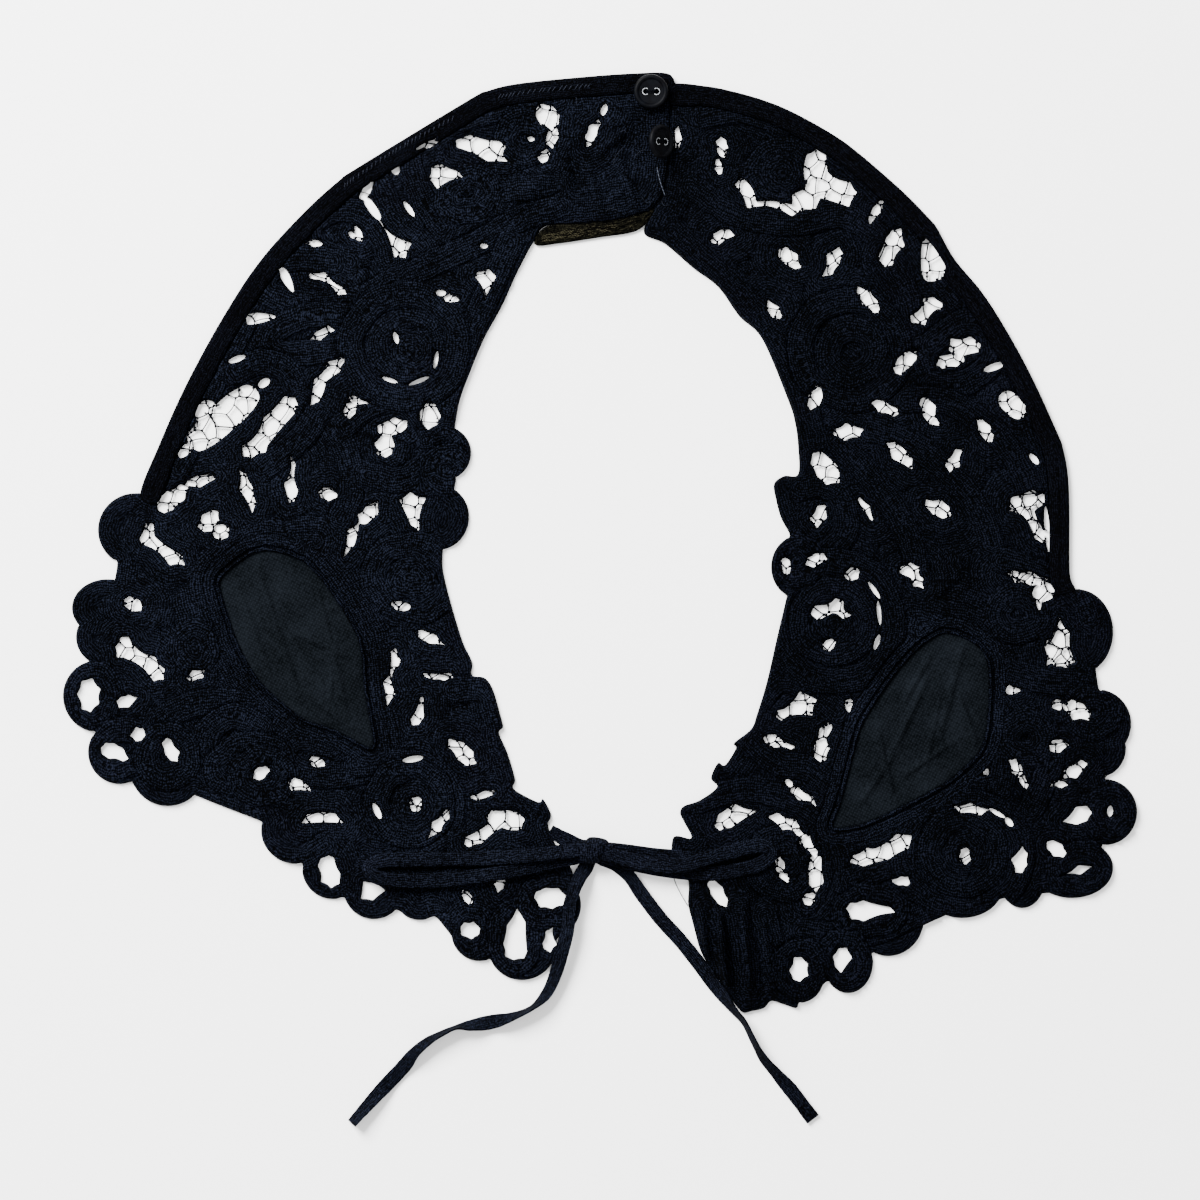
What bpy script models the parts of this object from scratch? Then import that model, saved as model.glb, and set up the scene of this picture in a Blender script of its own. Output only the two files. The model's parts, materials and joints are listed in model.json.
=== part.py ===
"""A tape lace false collar, laid flat: two lace halves that button at the back and tie in front.

Lengths are in metres, +Z is up and the collar rests on z = 0. The lace is drawn on a chart whose
squares are 0.36 mm, counted in columns to the right and rows downwards from its top left corner.
Each half is a flat underside with a raised face: the braid stands full between the gaps and
falls to a thin edge beside each gap and round the scallops.
"""

import math

import bmesh
import bpy
import numpy as np
from mathutils import Vector
from mathutils.geometry import delaunay_2d_cdt

MM = 0.001
chart_square = 0.36            # millimetres for each chart square
chart_middle = (600.0, 543.5)  # the column and row over the collar's own origin

braid_width = 5.8              # millimetres, the narrow lace tape
edge_tape_width = 6.2          # the plain tape along the outer neck edge
frame_tape_width = 5.2         # the tape round each linen leaf
tie_width = 5.5
tie_thickness = 1.0
tie_clearance = 0.1            # the least height of a tie over the surface that it lies on
seam_gap = 0.3                 # what two pieces leave between them
gap_thread = 0.2               # what the thread round a gap takes from each of its sides

lace_edge_height = 1.2
lace_height = 2.1
edge_tape_height = 2.6
frame_height = 2.4
edge_shoulder = 0.4            # the part of a tape's width in which it rises to its full height
frame_shoulder = 0.45
ridge_clearance = 0.72         # the part of half a braid that a ridge keeps from an edge
tape_clearance = 2.0           # millimetres of lace cut away beyond the edge tape

linen_height = 1.2
linen_shoulder = 2.0
linen_hem = 4.0                # millimetres from the leaf's edge to the points that keep it level
wrinkle_height = 0.7
wrinkle_reach = 3.0
turned_tape_height = 1.2

button_diameter = 12.5
# The button's section: millimetres in from its edge, and height.
button_section = [(6.25, 1.9), (1.9, 1.9), (1.2, 2.6), (0.4, 2.4), (0.0, 1.6), (0.7, 0.0),
                  (6.25, 0.0)]

outline_step = 3.0             # millimetres between the points of a curved edge
outline_tolerance = 0.25       # how far a thinned edge may stray from its curve
gap_step = 3.0                 # the same for the points round a gap, a scallop and a raised ridge
scallop_step = 3.4
ridge_step = 4.8
tie_step = 4.0
wrinkle_step = 3.0
gap_points = (6, 14)           # the fewest and the most points round a gap
gap_bluntness = 3
fold_parts = 5                 # what the ridge of a fold and of a wrinkle is cut into
wrinkle_parts = 4
button_steps = 20
rounding_steps = 2
merge_distance = 0.00001

# Outer edge of each half, from the back closure round to the first scallop.
outer_left = [(669, 76), (640, 75), (592, 78), (540, 83), (510, 87), (480, 96), (440, 120),
              (380, 156), (340, 182), (300, 219), (260, 264), (224, 319), (188, 385), (161, 445),
              (142, 494)]
outer_right = [(673, 86), (706, 88), (744, 96), (777, 107), (800, 118), (838, 140), (882, 175),
               (930, 222), (953, 260), (986, 301), (1022, 362), (1052, 425), (1063, 456),
               (1067, 489), (1068, 540), (1068, 573), (1073, 590)]

# Straight line that the scallops stand on, from notch to notch.
scallop_line_left = [(118, 556), (112, 600), (94, 660), (97, 730), (134, 783), (197, 796),
                     (222, 806), (261, 821), (300, 861), (341, 897), (400, 911), (437, 918),
                     (450, 934), (461, 950), (493, 958), (543, 966), (558, 938), (570, 915)]
scallop_line_right = [(1092, 625), (1096, 672), (1099, 690), (1118, 738), (1106, 777),
                      (1103, 783), (1102, 846), (1085, 888), (1047, 893), (1005, 898),
                      (944, 916), (922, 926), (898, 945), (873, 952), (868, 970), (826, 982),
                      (818, 990), (800, 1001), (796, 1008), (783, 1004), (771, 1001),
                      (764, 1008), (752, 1011), (743, 1012)]

# Inner edge of each half, from the front corner back to the closure.
inner_left = [(574, 882), (571, 868), (558, 850), (548, 826), (551, 815), (543, 799),
              (538, 802), (514, 789), (515, 779), (507, 752), (499, 733), (503, 727), (500, 714),
              (493, 690), (485, 678), (472, 675), (472, 662), (462, 640), (450, 600), (443, 570),
              (443, 550), (456, 481), (455, 426), (460, 400), (469, 375), (484, 339), (502, 306),
              (517, 273), (533, 243), (546, 226), (580, 224), (610, 221), (640, 214), (652, 209)]
inner_right = [(735, 1000), (727, 987), (719, 975), (710, 961), (702, 948), (697, 936),
               (692, 920), (688, 903), (688, 880), (674, 874), (673, 838), (691, 838), (684, 822),
               (680, 813), (684, 806), (700, 800), (717, 787), (711, 778), (718, 763),
               (725, 765), (736, 748), (734, 743), (751, 729), (757, 714), (767, 681), (777, 637),
               (786, 599), (789, 533), (781, 518), (776, 500), (774, 484), (784, 476), (798, 474),
               (798, 446), (795, 423), (788, 400), (762, 339), (739, 316), (718, 287), (693, 268),
               (665, 244), (644, 233)]
closure_left = [(664, 190), (669, 150), (670, 110)]
closure_right = [(654, 210), (665, 190), (670, 150), (671, 110)]

# Tape turned under at the back of the neck, where its plain side shows.
turned_tape = [(548, 227.5), (580, 225.5), (611, 222.5), (641, 215.5), (653, 210.5), (646, 222),
               (632, 231), (600, 236), (560, 242), (536, 243.5)]

# Linen leaves, along the corded seam.
leaf_left = [(262, 550), (282, 552), (304, 561), (324, 581), (350, 620), (362, 648), (366, 690),
             (374, 746), (350, 739), (330, 729), (302, 719), (262, 685), (240, 650), (226, 612),
             (219, 583), (228, 570), (245, 557)]
leaf_right = [(948, 632), (972, 641), (988, 660), (990, 700), (984, 744), (963, 770), (933, 791),
              (871, 822), (833, 828), (840, 800), (852, 754), (861, 724), (876, 699), (897, 670),
              (915, 650), (932, 637)]

# Scallops and inner bulges: half, column and row of the middle, half width, half height.
scallops = [
    ("left", 136, 530, 38, 37), ("left", 108, 608, 36, 29), ("left", 106, 637, 30, 29),
    ("left", 98, 696, 35, 36), ("left", 120, 752, 32, 32), ("left", 168, 766, 39, 40),
    ("left", 297, 830, 36, 34), ("left", 333, 868, 31, 31), ("left", 374, 888, 31, 31),
    ("left", 420, 893, 27, 27), ("left", 480, 932, 29, 29), ("left", 522, 945, 35, 35),
    ("left", 552, 905, 29, 31), ("left", 445, 453, 26, 27), ("left", 438, 517, 31, 33),
    ("right", 1077, 632, 36, 43), ("right", 1097, 724, 34, 35), ("right", 1096, 748, 30, 30),
    ("right", 1105, 812, 32, 33), ("right", 1072, 868, 41, 30), ("right", 1022, 876, 24, 32),
    ("right", 962, 884, 42, 34), ("right", 888, 918, 36, 38), ("right", 848, 962, 25, 31),
    ("right", 799, 974, 26, 29), ("right", 802, 567, 31, 33),
]

# Gaps between the braids: middle, length, width, the way its length points (degrees, turning
# left from straight right), taper (above 0 is wider at the end it points to) and sideways bend.
gaps_left = [
    (173, 498, 34, 20, 40, -0.2, 0), (200, 481, 30, 12, 15, 0.2, 0), (247, 491, 40, 12, -74, 0, 0),
    (291, 479, 43, 15, 90, -0.35, 0), (328, 494, 18, 12, -10, 0, 0), (209, 521, 23, 16, 50, 0, 0),
    (221, 532, 16, 15, 0, 0, 0), (162, 550, 46, 16, -35, 0, 0), (151, 534, 18, 12, 90, 0, 0),
    (307, 539, 37, 24, -12, 0.7, 0), (368, 514, 26, 14, 45, 0, 0), (352, 537, 34, 10, 70, 0, 0),
    (133, 604, 18, 13, -15, 0, 0), (126, 649, 24, 15, 80, 0, 0), (143, 661, 48, 19, -40, 0, 0),
    (196, 675, 18, 11, 20, 0, 0), (89, 695, 31, 20, 90, 0, 0), (127, 701, 19, 14, 15, -0.2, 0),
    (114, 752, 27, 14, -25, 0, 0), (138, 734, 14, 13, 30, 0, 0), (171, 750, 23, 13, -60, 0, 0),
    (261, 773, 17, 11, 35, 0, 0), (317, 762, 15, 10, -20, 0, 0), (300, 786, 23, 16, -20, -0.6, 0),
    (322, 821, 37, 13, 0, 0, 3), (329, 872, 29, 19, -75, 0, 0), (373, 891, 24, 25, 0, -0.7, 0),
    (416, 804, 14, 13, 90, 0, 0), (439, 824, 32, 11, 55, 0, 0),
    (504, 822, 36, 18, -8, 0, 2), (483, 834, 36, 13, 28, 0, 0), (483, 795, 22, 7, 15, 0, 0),
    (462, 752, 33, 15, -40, 0, 0), (417, 712, 28, 10, 68, 0, -3), (395, 661, 20, 12, 85, 0, 0),
    (390, 685, 34, 12, 85, 0, 0), (439, 676, 27, 9, -5, 0, 0), (430, 638, 30, 9, -25, 0, 0),
    (401, 606, 18, 9, -10, 0, 0), (392, 428, 28, 15, 15, 0, 0), (385, 444, 23, 18, 60, 0, 0),
    (360, 401, 21, 12, -10, -0.5, 0), (350, 410, 15, 12, 60, 0, 0), (430, 416, 24, 19, 85, 0, 0),
    (415, 512, 36, 32, 100, 0.7, 0), (470, 930, 17, 17, 0, 0, 0), (516, 935, 46, 28, 88, -0.45, 0),
    (550, 898, 28, 20, 5, 0, 0), (550, 940, 24, 13, 85, 0, 0), (499, 885, 16, 15, 70, 0.6, 0),
    (509, 861, 17, 8, 8, 0, 0), (467, 897, 15, 8, -60, 0, 0),
    (223, 418, 88, 31, 41, 0, 0), (187, 449, 22, 11, 45, 0, 0),
    (207, 414, 28, 24, 80, 0, 0), (275, 422, 54, 20, 52, 0, 0), (256, 446, 25, 18, 20, 0, 0),
    (332, 370, 28, 14, 45, 0, 0), (319, 387, 34, 12, 70, 0, 0), (322, 334, 24, 12, 25, 0.3, 0),
    (260, 318, 32, 16, 5, -0.5, 0),
    (318, 276, 16, 9, 0, 0, 0), (330, 283, 34, 11, -38, 0, 0), (287, 280, 28, 13, 118, 0.5, 0),
    (315, 243, 18, 7, 5, 0, 0), (358, 234, 15, 8, -65, 0, 0),
    (367, 190, 23, 12, 60, -0.3, 0), (372, 208, 28, 9, -55, 0, 0), (397, 243, 30, 25, -52, 0.4, 0),
    (385, 226, 20, 10, -55, 0, 0),
    (427, 145, 27, 9, 25, 0, 0), (446, 176, 30, 30, 0, -0.6, 0),
    (481, 146, 46, 16, -8, 0, 0), (492, 154, 28, 14, -25, 0, 0), (548, 117, 24, 20, -60, 0, 0),
    (552, 136, 20, 12, 80, 0, 0), (544, 156, 14, 11, 50, 0, 0), (592, 133, 28, 10, 68, 0, 0),
    (485, 284, 27, 25, 90, 0.65, 0), (452, 298, 16, 9, 0, 0, 0),
]
gaps_right = [
    (677, 138, 20, 10, 88, 0, 0), (722, 147, 19, 11, -75, 0, 0), (719, 167, 15, 9, -80, 0, 0),
    (752, 192, 27, 13, -60, 0, 0), (779, 206, 56, 11, -6, 0, 0), (805, 199, 26, 24, 30, 0, 0),
    (814, 176, 44, 22, 90, 0, 0), (829, 189, 44, 25, -22, 0, 0), (889, 198, 36, 9, -45, 0, 0),
    (876, 212, 24, 9, 60, 0, 0), (892, 248, 38, 18, 65, 0, 0), (931, 259, 45, 34, 106, -0.6, 0),
    (931, 305, 20, 13, -15, 0, 0), (923, 315, 24, 17, 40, 0, 0), (963, 347, 30, 18, -5, 0, 0),
    (951, 360, 27, 14, 10, 0, 0), (1013, 405, 33, 21, -42, 0, 0),
    (1027, 504, 34, 20, 20, 0, 0), (1035, 524, 36, 14, -62, 0, 0),
    (722, 237, 21, 14, 20, 0, 0), (820, 460, 16, 15, 0, 0, 0),
    (826, 470, 32, 20, -50, 0, 0), (819, 516, 22, 15, 60, 0, 0),
    (816, 560, 20, 12, 25, 0, 0), (786, 566, 15, 10, -80, 0, 0),
    (852, 574, 15, 12, 10, 0, 0), (911, 571, 20, 14, 0, 0, 0), (917, 581, 16, 12, -60, 0, 0),
    (823, 612, 22, 15, 10, 0, 0), (835, 606, 17, 14, 0, 0, 0), (842, 614, 15, 10, -10, 0, 0),
    (829, 645, 13, 11, 40, 0, 0), (924, 615, 37, 12, -8, -0.3, 0), (911, 624, 29, 13, 75, 0.6, 0),
    (1027, 578, 37, 12, -6, 0, 0), (1044, 592, 24, 19, 25, 0, 0), (1039, 602, 18, 10, 90, 0.5, 0),
    (1061, 643, 47, 30, 96, -0.6, 0), (1050, 653, 25, 11, 85, 0, 0), (1013, 690, 15, 12, 0, -0.5, 0),
    (1058, 705, 12, 11, 0, 0, 0), (1077, 711, 26, 18, -30, 0, 0), (1059, 746, 18, 17, 0, -0.4, 0),
    (1075, 770, 26, 13, 35, 0, 0), (1059, 784, 17, 9, 10, 0, 0), (1016, 768, 18, 12, -60, 0, 0),
    (1024, 782, 15, 9, -75, 0, 0), (982, 779, 24, 9, 8, 0, 0),
    (803, 705, 25, 22, -20, 0, 0), (789, 711, 26, 12, 25, 0, 0), (849, 706, 13, 12, 90, 0.6, 0),
    (825, 733, 17, 12, 60, 0, 0), (822, 748, 25, 14, 85, 0, 0),
    (778, 742, 30, 11, -18, 0, 0), (731, 817, 34, 17, 35, 0, 0), (748, 811, 16, 10, 10, 0, 0),
    (803, 796, 28, 10, -35, 0, 0), (784, 822, 30, 14, -20, 0, 0),
    (808, 845, 27, 12, -60, 0, 0), (816, 873, 35, 14, -88, 0, 0),
    (809, 899, 14, 11, 50, 0, 0), (780, 865, 14, 10, -80, 0, 0), (785, 877, 12, 8, -40, 0, 0),
    (718, 893, 28, 12, -55, 0, 0), (972, 809, 32, 11, -5, 0, 0),
    (893, 846, 34, 18, 30, 0, 0), (869, 856, 34, 15, 18, 0, 0),
    (965, 856, 15, 11, 90, 0, 0), (1020, 860, 25, 18, 78, -0.3, 0),
    (1056, 849, 21, 13, -38, 0, 0), (1076, 871, 31, 9, 16, 0.2, 0), (1077, 816, 27, 20, 22, 0.4, 0),
    (901, 881, 17, 13, 0, 0.5, 0), (870, 911, 44, 22, -3, -0.4, 0),
    (842, 960, 23, 21, 85, 0.4, 0), (799, 969, 23, 17, 95, 0, 0), (790, 258, 26, 14, -40, 0, 0),
    (832, 262, 30, 14, 60, 0, 0), (868, 300, 30, 13, -50, 0, 0), (774, 310, 20, 11, -60, 0, 0),
    (905, 362, 28, 14, 50, 0, 0), (885, 408, 26, 12, -20, 0, 0), (930, 412, 30, 14, -55, 0, 0),
    (848, 432, 28, 15, 10, 0, 0), (900, 455, 32, 14, -45, 0, 0), (955, 460, 26, 13, 60, 0, 0),
    (866, 508, 24, 8, -60, 0, 0), (938, 508, 28, 14, -30, 0, 0),
    (815, 398, 24, 12, 70, 0, 0), (985, 430, 24, 12, -60, 0, 0),
]

# Soft folds that stand up from the lace: ends of the ridge, height and reach in millimetres.
folds = [
    ("right", (728, 925), (740, 1000), 3.4, 4.5), ("right", (752, 930), (768, 996), 2.6, 4.0),
    ("right", (706, 915), (720, 975), 2.2, 4.0), ("right", (775, 975), (796, 1002), 2.2, 3.5),
    ("left", (380, 163), (560, 96), 1.2, 4.0), ("left", (500, 215), (560, 165), 1.6, 5.0),
    ("right", (735, 108), (800, 138), 1.4, 5.0), ("left", (330, 640), (300, 650), 0.6, 4.0),
]

# Soft wrinkles in the linen leaves: ends of the ridge.
wrinkles = {
    "left": [((318, 610), (280, 700)), ((290, 600), (345, 720)), ((262, 600), (275, 650))],
    "right": [((960, 690), (970, 740)), ((885, 745), (900, 790)), ((925, 680), (905, 730))],
}

# Ties: column, row, height of the middle (mm) and roll of the flat tape (degrees).
tie_routes = {
    "tie_lead_left": [(550, 830, 4.4, 30), (560, 836, 4.5, 15), (570, 841, 4.6, -5),
                      (578.5, 845, 4.7, -12)],
    "tie_lead_right": [(604, 849, 2.2, 0), (625, 851, 2.2, 0), (655, 855, 2.4, 0),
                       (680, 857, 2.8, 0), (696, 859, 2.9, 0)],
    "tie_loop_left": [(578.5, 849, 6.9, 5), (545, 851, 6.2, 20), (500, 850, 5.2, 30),
                      (450, 853, 5.0, 35), (405, 856, 5.0, 35), (379, 860, 4.6, 20),
                      (369, 868, 4.2, 0), (378, 877, 3.9, 0), (400, 880, 3.4, 0),
                      (450, 878, 3.3, 0), (500, 871, 3.4, 0), (545, 862, 3.5, 0),
                      (578.5, 856, 3.3, 0)],
    "tie_loop_right": [(604, 850, 6.8, -5), (625, 852, 6.4, -15), (655, 856, 6.0, -20),
                       (700, 852, 5.4, -10), (735, 845, 4.8, 0), (758, 845, 4.4, 0),
                       (768, 851, 4.2, 0), (758, 859, 3.9, 0), (735, 864, 3.9, 0),
                       (706, 866, 4.3, 0), (672, 863, 4.4, 0), (635, 858, 4.3, 0),
                       (604, 854, 4.2, 0)],
    "tie_tail_left": [(587, 865, 1.7, 0), (580, 876, 3.2, 15), (574, 890, 4.0, 30),
                      (570, 906, 4.0, 30), (568, 927, 4.0, 25), (562, 951, 4.0, 15),
                      (555, 975, 2.8, 30), (546, 994, 2.2, 45), (531, 1008, 2.8, 75),
                      (510, 1017, 2.5, 55), (490, 1022, 1.5, 15), (471, 1025, 2.2, 45),
                      (456, 1027, 2.8, 78), (442, 1033, 2.8, 72), (428, 1041, 2.6, 58),
                      (415, 1052, 2.1, 42), (404, 1066, 1.0, 10), (390, 1081, 0.8, 5),
                      (373, 1099, 1.7, 30), (352, 1123, 2.4, 50)],
    "tie_tail_right": [(604, 859, 0.8, 0), (616, 864, 0.8, 0), (629, 876, 1.4, 25),
                       (641, 893, 1.2, 15), (660, 918, 1.2, 15), (680, 940, 1.2, 15),
                       (700, 965, 1.0, 10), (718, 990, 1.7, 30), (734, 1010, 2.6, 60),
                       (744, 1022, 2.8, 68), (753, 1040, 2.8, 68), (763, 1058, 2.6, 55),
                       (776, 1073, 2.1, 40), (790, 1089, 1.0, 10), (803, 1106, 1.2, 15),
                       (813, 1119, 0.8, 0)],
}
knot_middle = (591.0, 850.0)
knot_size = (7.6, 8.0, 7.2)
knot_underside = 0.9
knot_rounding = 1.4

# Buttons: name, column, row, height of the lowest point (mm) and how far the face leans (degrees).
buttons = [("button_upper", 651, 92, 2.9, 0.0), ("button_lower", 659, 143, 1.4, 35.0)]

roughness = (0.85, 0.42)       # of the cloth, and of the buttons
colours = {
    "lace": (0.010, 0.011, 0.018), "linen": (0.022, 0.024, 0.032), "tape": (0.012, 0.013, 0.020),
    "turned": (0.030, 0.028, 0.018), "tie": (0.013, 0.014, 0.020), "button": (0.014, 0.014, 0.017),
}


def place(column, row):
    """Chart square to millimetres in the collar's own frame."""
    return ((column - chart_middle[0]) * chart_square, (chart_middle[1] - row) * chart_square)


def smooth_line(points, spacing, closed=False):
    """A curve through the points, cut at about the given spacing (mm)."""
    spots = [Vector(point) for point in points]
    count = len(spots)
    result = []
    last = count if closed else count - 1
    for index in range(last):
        if closed:
            before, start, end, after = (spots[(index + step) % count] for step in (-1, 0, 1, 2))
        else:
            start, end = spots[index], spots[index + 1]
            before = spots[max(index - 1, 0)]
            after = spots[min(index + 2, count - 1)]
        pieces = max(1, round((end - start).length / spacing))
        for step in range(pieces):
            part = step / pieces
            result.append(0.5 * (2 * start + (end - before) * part
                                 + (2 * before - 5 * start + 4 * end - after) * part ** 2
                                 + (3 * start - before - 3 * end + after) * part ** 3))
    if not closed:
        result.append(spots[-1])
    return result


def thin_line(points, tolerance, closed=False):
    """Leave out the points that stand less than the tolerance from their neighbours' chord."""
    if closed:
        half = len(points) // 2
        first = thin_line(points[:half + 1], tolerance)
        second = thin_line(points[half:] + points[:1], tolerance)
        return first[:-1] + second[:-1]
    start, end = points[0], points[-1]
    chord = end - start
    worst, place_of_worst = 0.0, None
    for index in range(1, len(points) - 1):
        offset = points[index] - start
        if chord.length > 0:
            along = max(0.0, min(1.0, offset.dot(chord) / chord.length_squared))
            distance = (offset - along * chord).length
        else:
            distance = offset.length
        if distance > worst:
            worst, place_of_worst = distance, index
    if worst <= tolerance:
        return [start, end]
    left = thin_line(points[:place_of_worst + 1], tolerance)
    return left[:-1] + thin_line(points[place_of_worst:], tolerance)


def charted(rows):
    return [place(*row[:2]) for row in rows]


def line_points(start, end, parts):
    """Points from one chart square to another, evenly apart."""
    first, last = Vector(place(*start)), Vector(place(*end))
    return [first.lerp(last, part / parts) for part in range(parts + 1)]


def gap_outline(row, spacing=gap_step, grown=-gap_thread):
    """Blunt oval, tapered and bent as its row says, and grown (mm) on each of its sides."""
    column, line, length, width, turn, taper, bend = row
    length += 2 * grown / chart_square
    width += 2 * grown / chart_square
    middle = Vector(place(column, line))
    angle = math.radians(turn)
    along = Vector((math.cos(angle), math.sin(angle)))
    across = Vector((-along.y, along.x))
    around = math.pi * (length + width) / 2 * chart_square
    fewest, most = gap_points
    count = max(fewest, min(most, round(around / spacing)))
    outline = []
    for step in range(count):
        swing = 2 * math.pi * (step + 0.5) / count
        reach, side = math.cos(swing), math.sin(swing)
        blunt = (abs(reach) ** gap_bluntness + abs(side) ** gap_bluntness) ** (-1 / gap_bluntness)
        reach *= blunt
        half = width / 2 * (1 + taper * reach) / (1 + abs(taper))
        sideways = side * blunt * half + bend * (1 - reach ** 2)
        outline.append(middle + chart_square * (reach * length / 2 * along + sideways * across))
    return outline


def ring(column, row, half_width, half_height, spacing=scallop_step):
    """Oval outline of a scallop."""
    middle = Vector(place(column, row))
    around = math.pi * (half_width + half_height) * chart_square
    count = round(around / spacing)
    return [middle + chart_square * Vector((half_width * math.cos(2 * math.pi * step / count),
                                            half_height * math.sin(2 * math.pi * step / count)))
            for step in range(count)]


def widened(outline, amount):
    """A closed outline moved outwards by the amount (mm), or inwards if it is below 0."""
    count = len(outline)
    area = sum(outline[i - 1].x * outline[i].y - outline[i].x * outline[i - 1].y
               for i in range(count))
    outward = 1 if area > 0 else -1
    result = []
    for index in range(count):
        before, here, after = outline[index - 1], outline[index], outline[(index + 1) % count]
        first = (here - before).normalized()
        second = (after - here).normalized()
        normal = Vector((first.y + second.y, -first.x - second.x)).normalized() * outward
        stretch = 1 / max(0.6, normal.dot(Vector((first.y, -first.x)) * outward))
        result.append(here + normal * amount * stretch)
    return result


def strip_outline(line, left, right):
    """Closed outline of a tape that reaches left and right (mm) of an open line."""
    sides = ([], [])
    for index, here in enumerate(line):
        before = line[max(index - 1, 0)]
        after = line[min(index + 1, len(line) - 1)]
        along = (after - before).normalized()
        across = Vector((-along.y, along.x))
        sides[0].append(here + across * left)
        sides[1].append(here - across * right)
    return sides[0] + sides[1][::-1]


def inside(points, outline):
    """Which of the points lie inside the closed outline (even-odd rule)."""
    x, y = points[:, 0], points[:, 1]
    result = np.zeros(len(points), bool)
    count = len(outline)
    for index in range(count):
        x1, y1 = outline[index - 1][0], outline[index - 1][1]
        x2, y2 = outline[index][0], outline[index][1]
        if y1 == y2:
            continue
        crosses = (y1 > y) != (y2 > y)
        result ^= crosses & (x < (x2 - x1) * (y - y1) / (y2 - y1) + x1)
    return result


def distance_to(points, segments):
    """Distance from each point to the nearest of the segments (rows x1, y1, x2, y2)."""
    nearest = np.full(len(points), np.inf)
    for x1, y1, x2, y2 in segments:
        dx, dy = x2 - x1, y2 - y1
        length = max(dx * dx + dy * dy, 1e-12)
        part = np.clip(((points[:, 0] - x1) * dx + (points[:, 1] - y1) * dy) / length, 0, 1)
        away = np.hypot(points[:, 0] - x1 - part * dx, points[:, 1] - y1 - part * dy)
        nearest = np.minimum(nearest, away)
    return nearest


def triangulate(loops, extra, keep):
    """Triangles of the region that keep() chooses, with the loops as their edges."""
    points, edges = [], []
    for loop in loops:
        first = len(points)
        points += [Vector(point[:2]) for point in loop]
        edges += [(first + i, first + (i + 1) % len(loop)) for i in range(len(loop))]
    points += [Vector(point[:2]) for point in extra]
    found, _, faces, _, _, _ = delaunay_2d_cdt(points, edges, [], 0, 0.04, False)
    spots = np.array([(point.x, point.y) for point in found])
    faces = np.array([face for face in faces if len(face) == 3])
    middles = spots[faces].mean(axis=1)
    return spots, faces[keep(middles)]


def border_edges(faces):
    """Directed edges that only one triangle has."""
    seen = {}
    for face in faces:
        for i in range(3):
            seen[(face[i], face[(i + 1) % 3])] = True
    return [edge for edge in seen if (edge[1], edge[0]) not in seen]


def tidy_region(faces):
    """One connected region in which no corner joins two parts by a point alone."""
    faces = [tuple(int(i) for i in face) for face in faces]
    while True:
        starts = {}
        for edge in border_edges(faces):
            starts.setdefault(edge[0], []).append(edge)
        pinched = {corner for corner, edges in starts.items() if len(edges) > 1}
        if not pinched:
            break
        drop = set()
        for corner in pinched:
            around = [face for face in faces if corner in face and face not in drop]
            fans = []
            while around:
                fan = [around.pop()]
                grown = True
                while grown:
                    grown = False
                    for face in list(around):
                        if any(len(set(face) & set(other)) == 2 for other in fan):
                            fan.append(face)
                            around.remove(face)
                            grown = True
                fans.append(fan)
            if len(fans) > 1:
                for fan in sorted(fans, key=len)[:-1]:
                    drop.update(fan)
        if not drop:
            break
        faces = [face for face in faces if face not in drop]
    neighbours = {}
    for index, face in enumerate(faces):
        for i in range(3):
            edge = frozenset((face[i], face[(i + 1) % 3]))
            neighbours.setdefault(edge, []).append(index)
    links = [[] for _ in faces]
    for pair in neighbours.values():
        if len(pair) == 2:
            links[pair[0]].append(pair[1])
            links[pair[1]].append(pair[0])
    best, unseen = [], set(range(len(faces)))
    while unseen:
        group, front = [], [unseen.pop()]
        while front:
            index = front.pop()
            group.append(index)
            for other in links[index]:
                if other in unseen:
                    unseen.remove(other)
                    front.append(other)
        if len(group) > len(best):
            best = group
    return [faces[index] for index in best]


def spread_out(points, least):
    """The points, leaving out each that lies closer than the least distance to a kept one."""
    kept = []
    for point in points:
        if all((point[0] - other[0]) ** 2 + (point[1] - other[1]) ** 2 >= least ** 2
               for other in kept):
            kept.append(point)
    return kept


def slab(name, loops, keep, height, extra=()):
    """A closed solid: a level underside, upright edges and a face raised by height(points)."""
    spots, faces = triangulate(loops, extra, keep)
    faces = tidy_region(faces)
    border = border_edges(faces)
    segments = [(*spots[a], *spots[b]) for a, b in border]
    used = sorted({i for face in faces for i in face})
    new_index = {old: new for new, old in enumerate(used)}
    flat = spots[used]
    tops = height(flat, distance_to(flat, segments))
    vertices = [(x * MM, y * MM, z * MM) for (x, y), z in zip(flat, tops)]
    solid = [tuple(new_index[i] for i in face) for face in faces]
    rim = sorted({i for edge in border for i in edge})
    below = {old: len(vertices) + new for new, old in enumerate(rim)}
    vertices += [(spots[i][0] * MM, spots[i][1] * MM, 0.0) for i in rim]
    for a, b in border:
        solid.append((new_index[b], new_index[a], below[a], below[b]))
    index_of = {old: new for new, old in enumerate(rim)}
    lines = [(index_of[a], index_of[b]) for a, b in border]
    outline = [Vector(spots[i]) for i in rim]
    _, _, floor, origin, _, _ = delaunay_2d_cdt(outline, lines, [], 0, 1e-6)
    floor = np.array(floor)
    middles = spots[rim][np.array([[origin[i][0] for i in face] for face in floor])].mean(axis=1)
    count = np.zeros(len(middles), bool)
    for x1, y1, x2, y2 in segments:
        if y1 != y2:
            crosses = (y1 > middles[:, 1]) != (y2 > middles[:, 1])
            count ^= crosses & (middles[:, 0] < (x2 - x1) * (middles[:, 1] - y1) / (y2 - y1) + x1)
    for face in floor[count]:
        corners = [below[rim[origin[i][0]]] for i in face]
        solid.append(tuple(reversed(corners)))
    mesh = bpy.data.meshes.new(name)
    mesh.from_pydata(vertices, [], solid)
    mesh.validate()
    return bpy.data.objects.new(name, mesh)


def finish(item, material, collection):
    collection.objects.link(item)
    item.data.materials.append(material)
    return item


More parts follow.
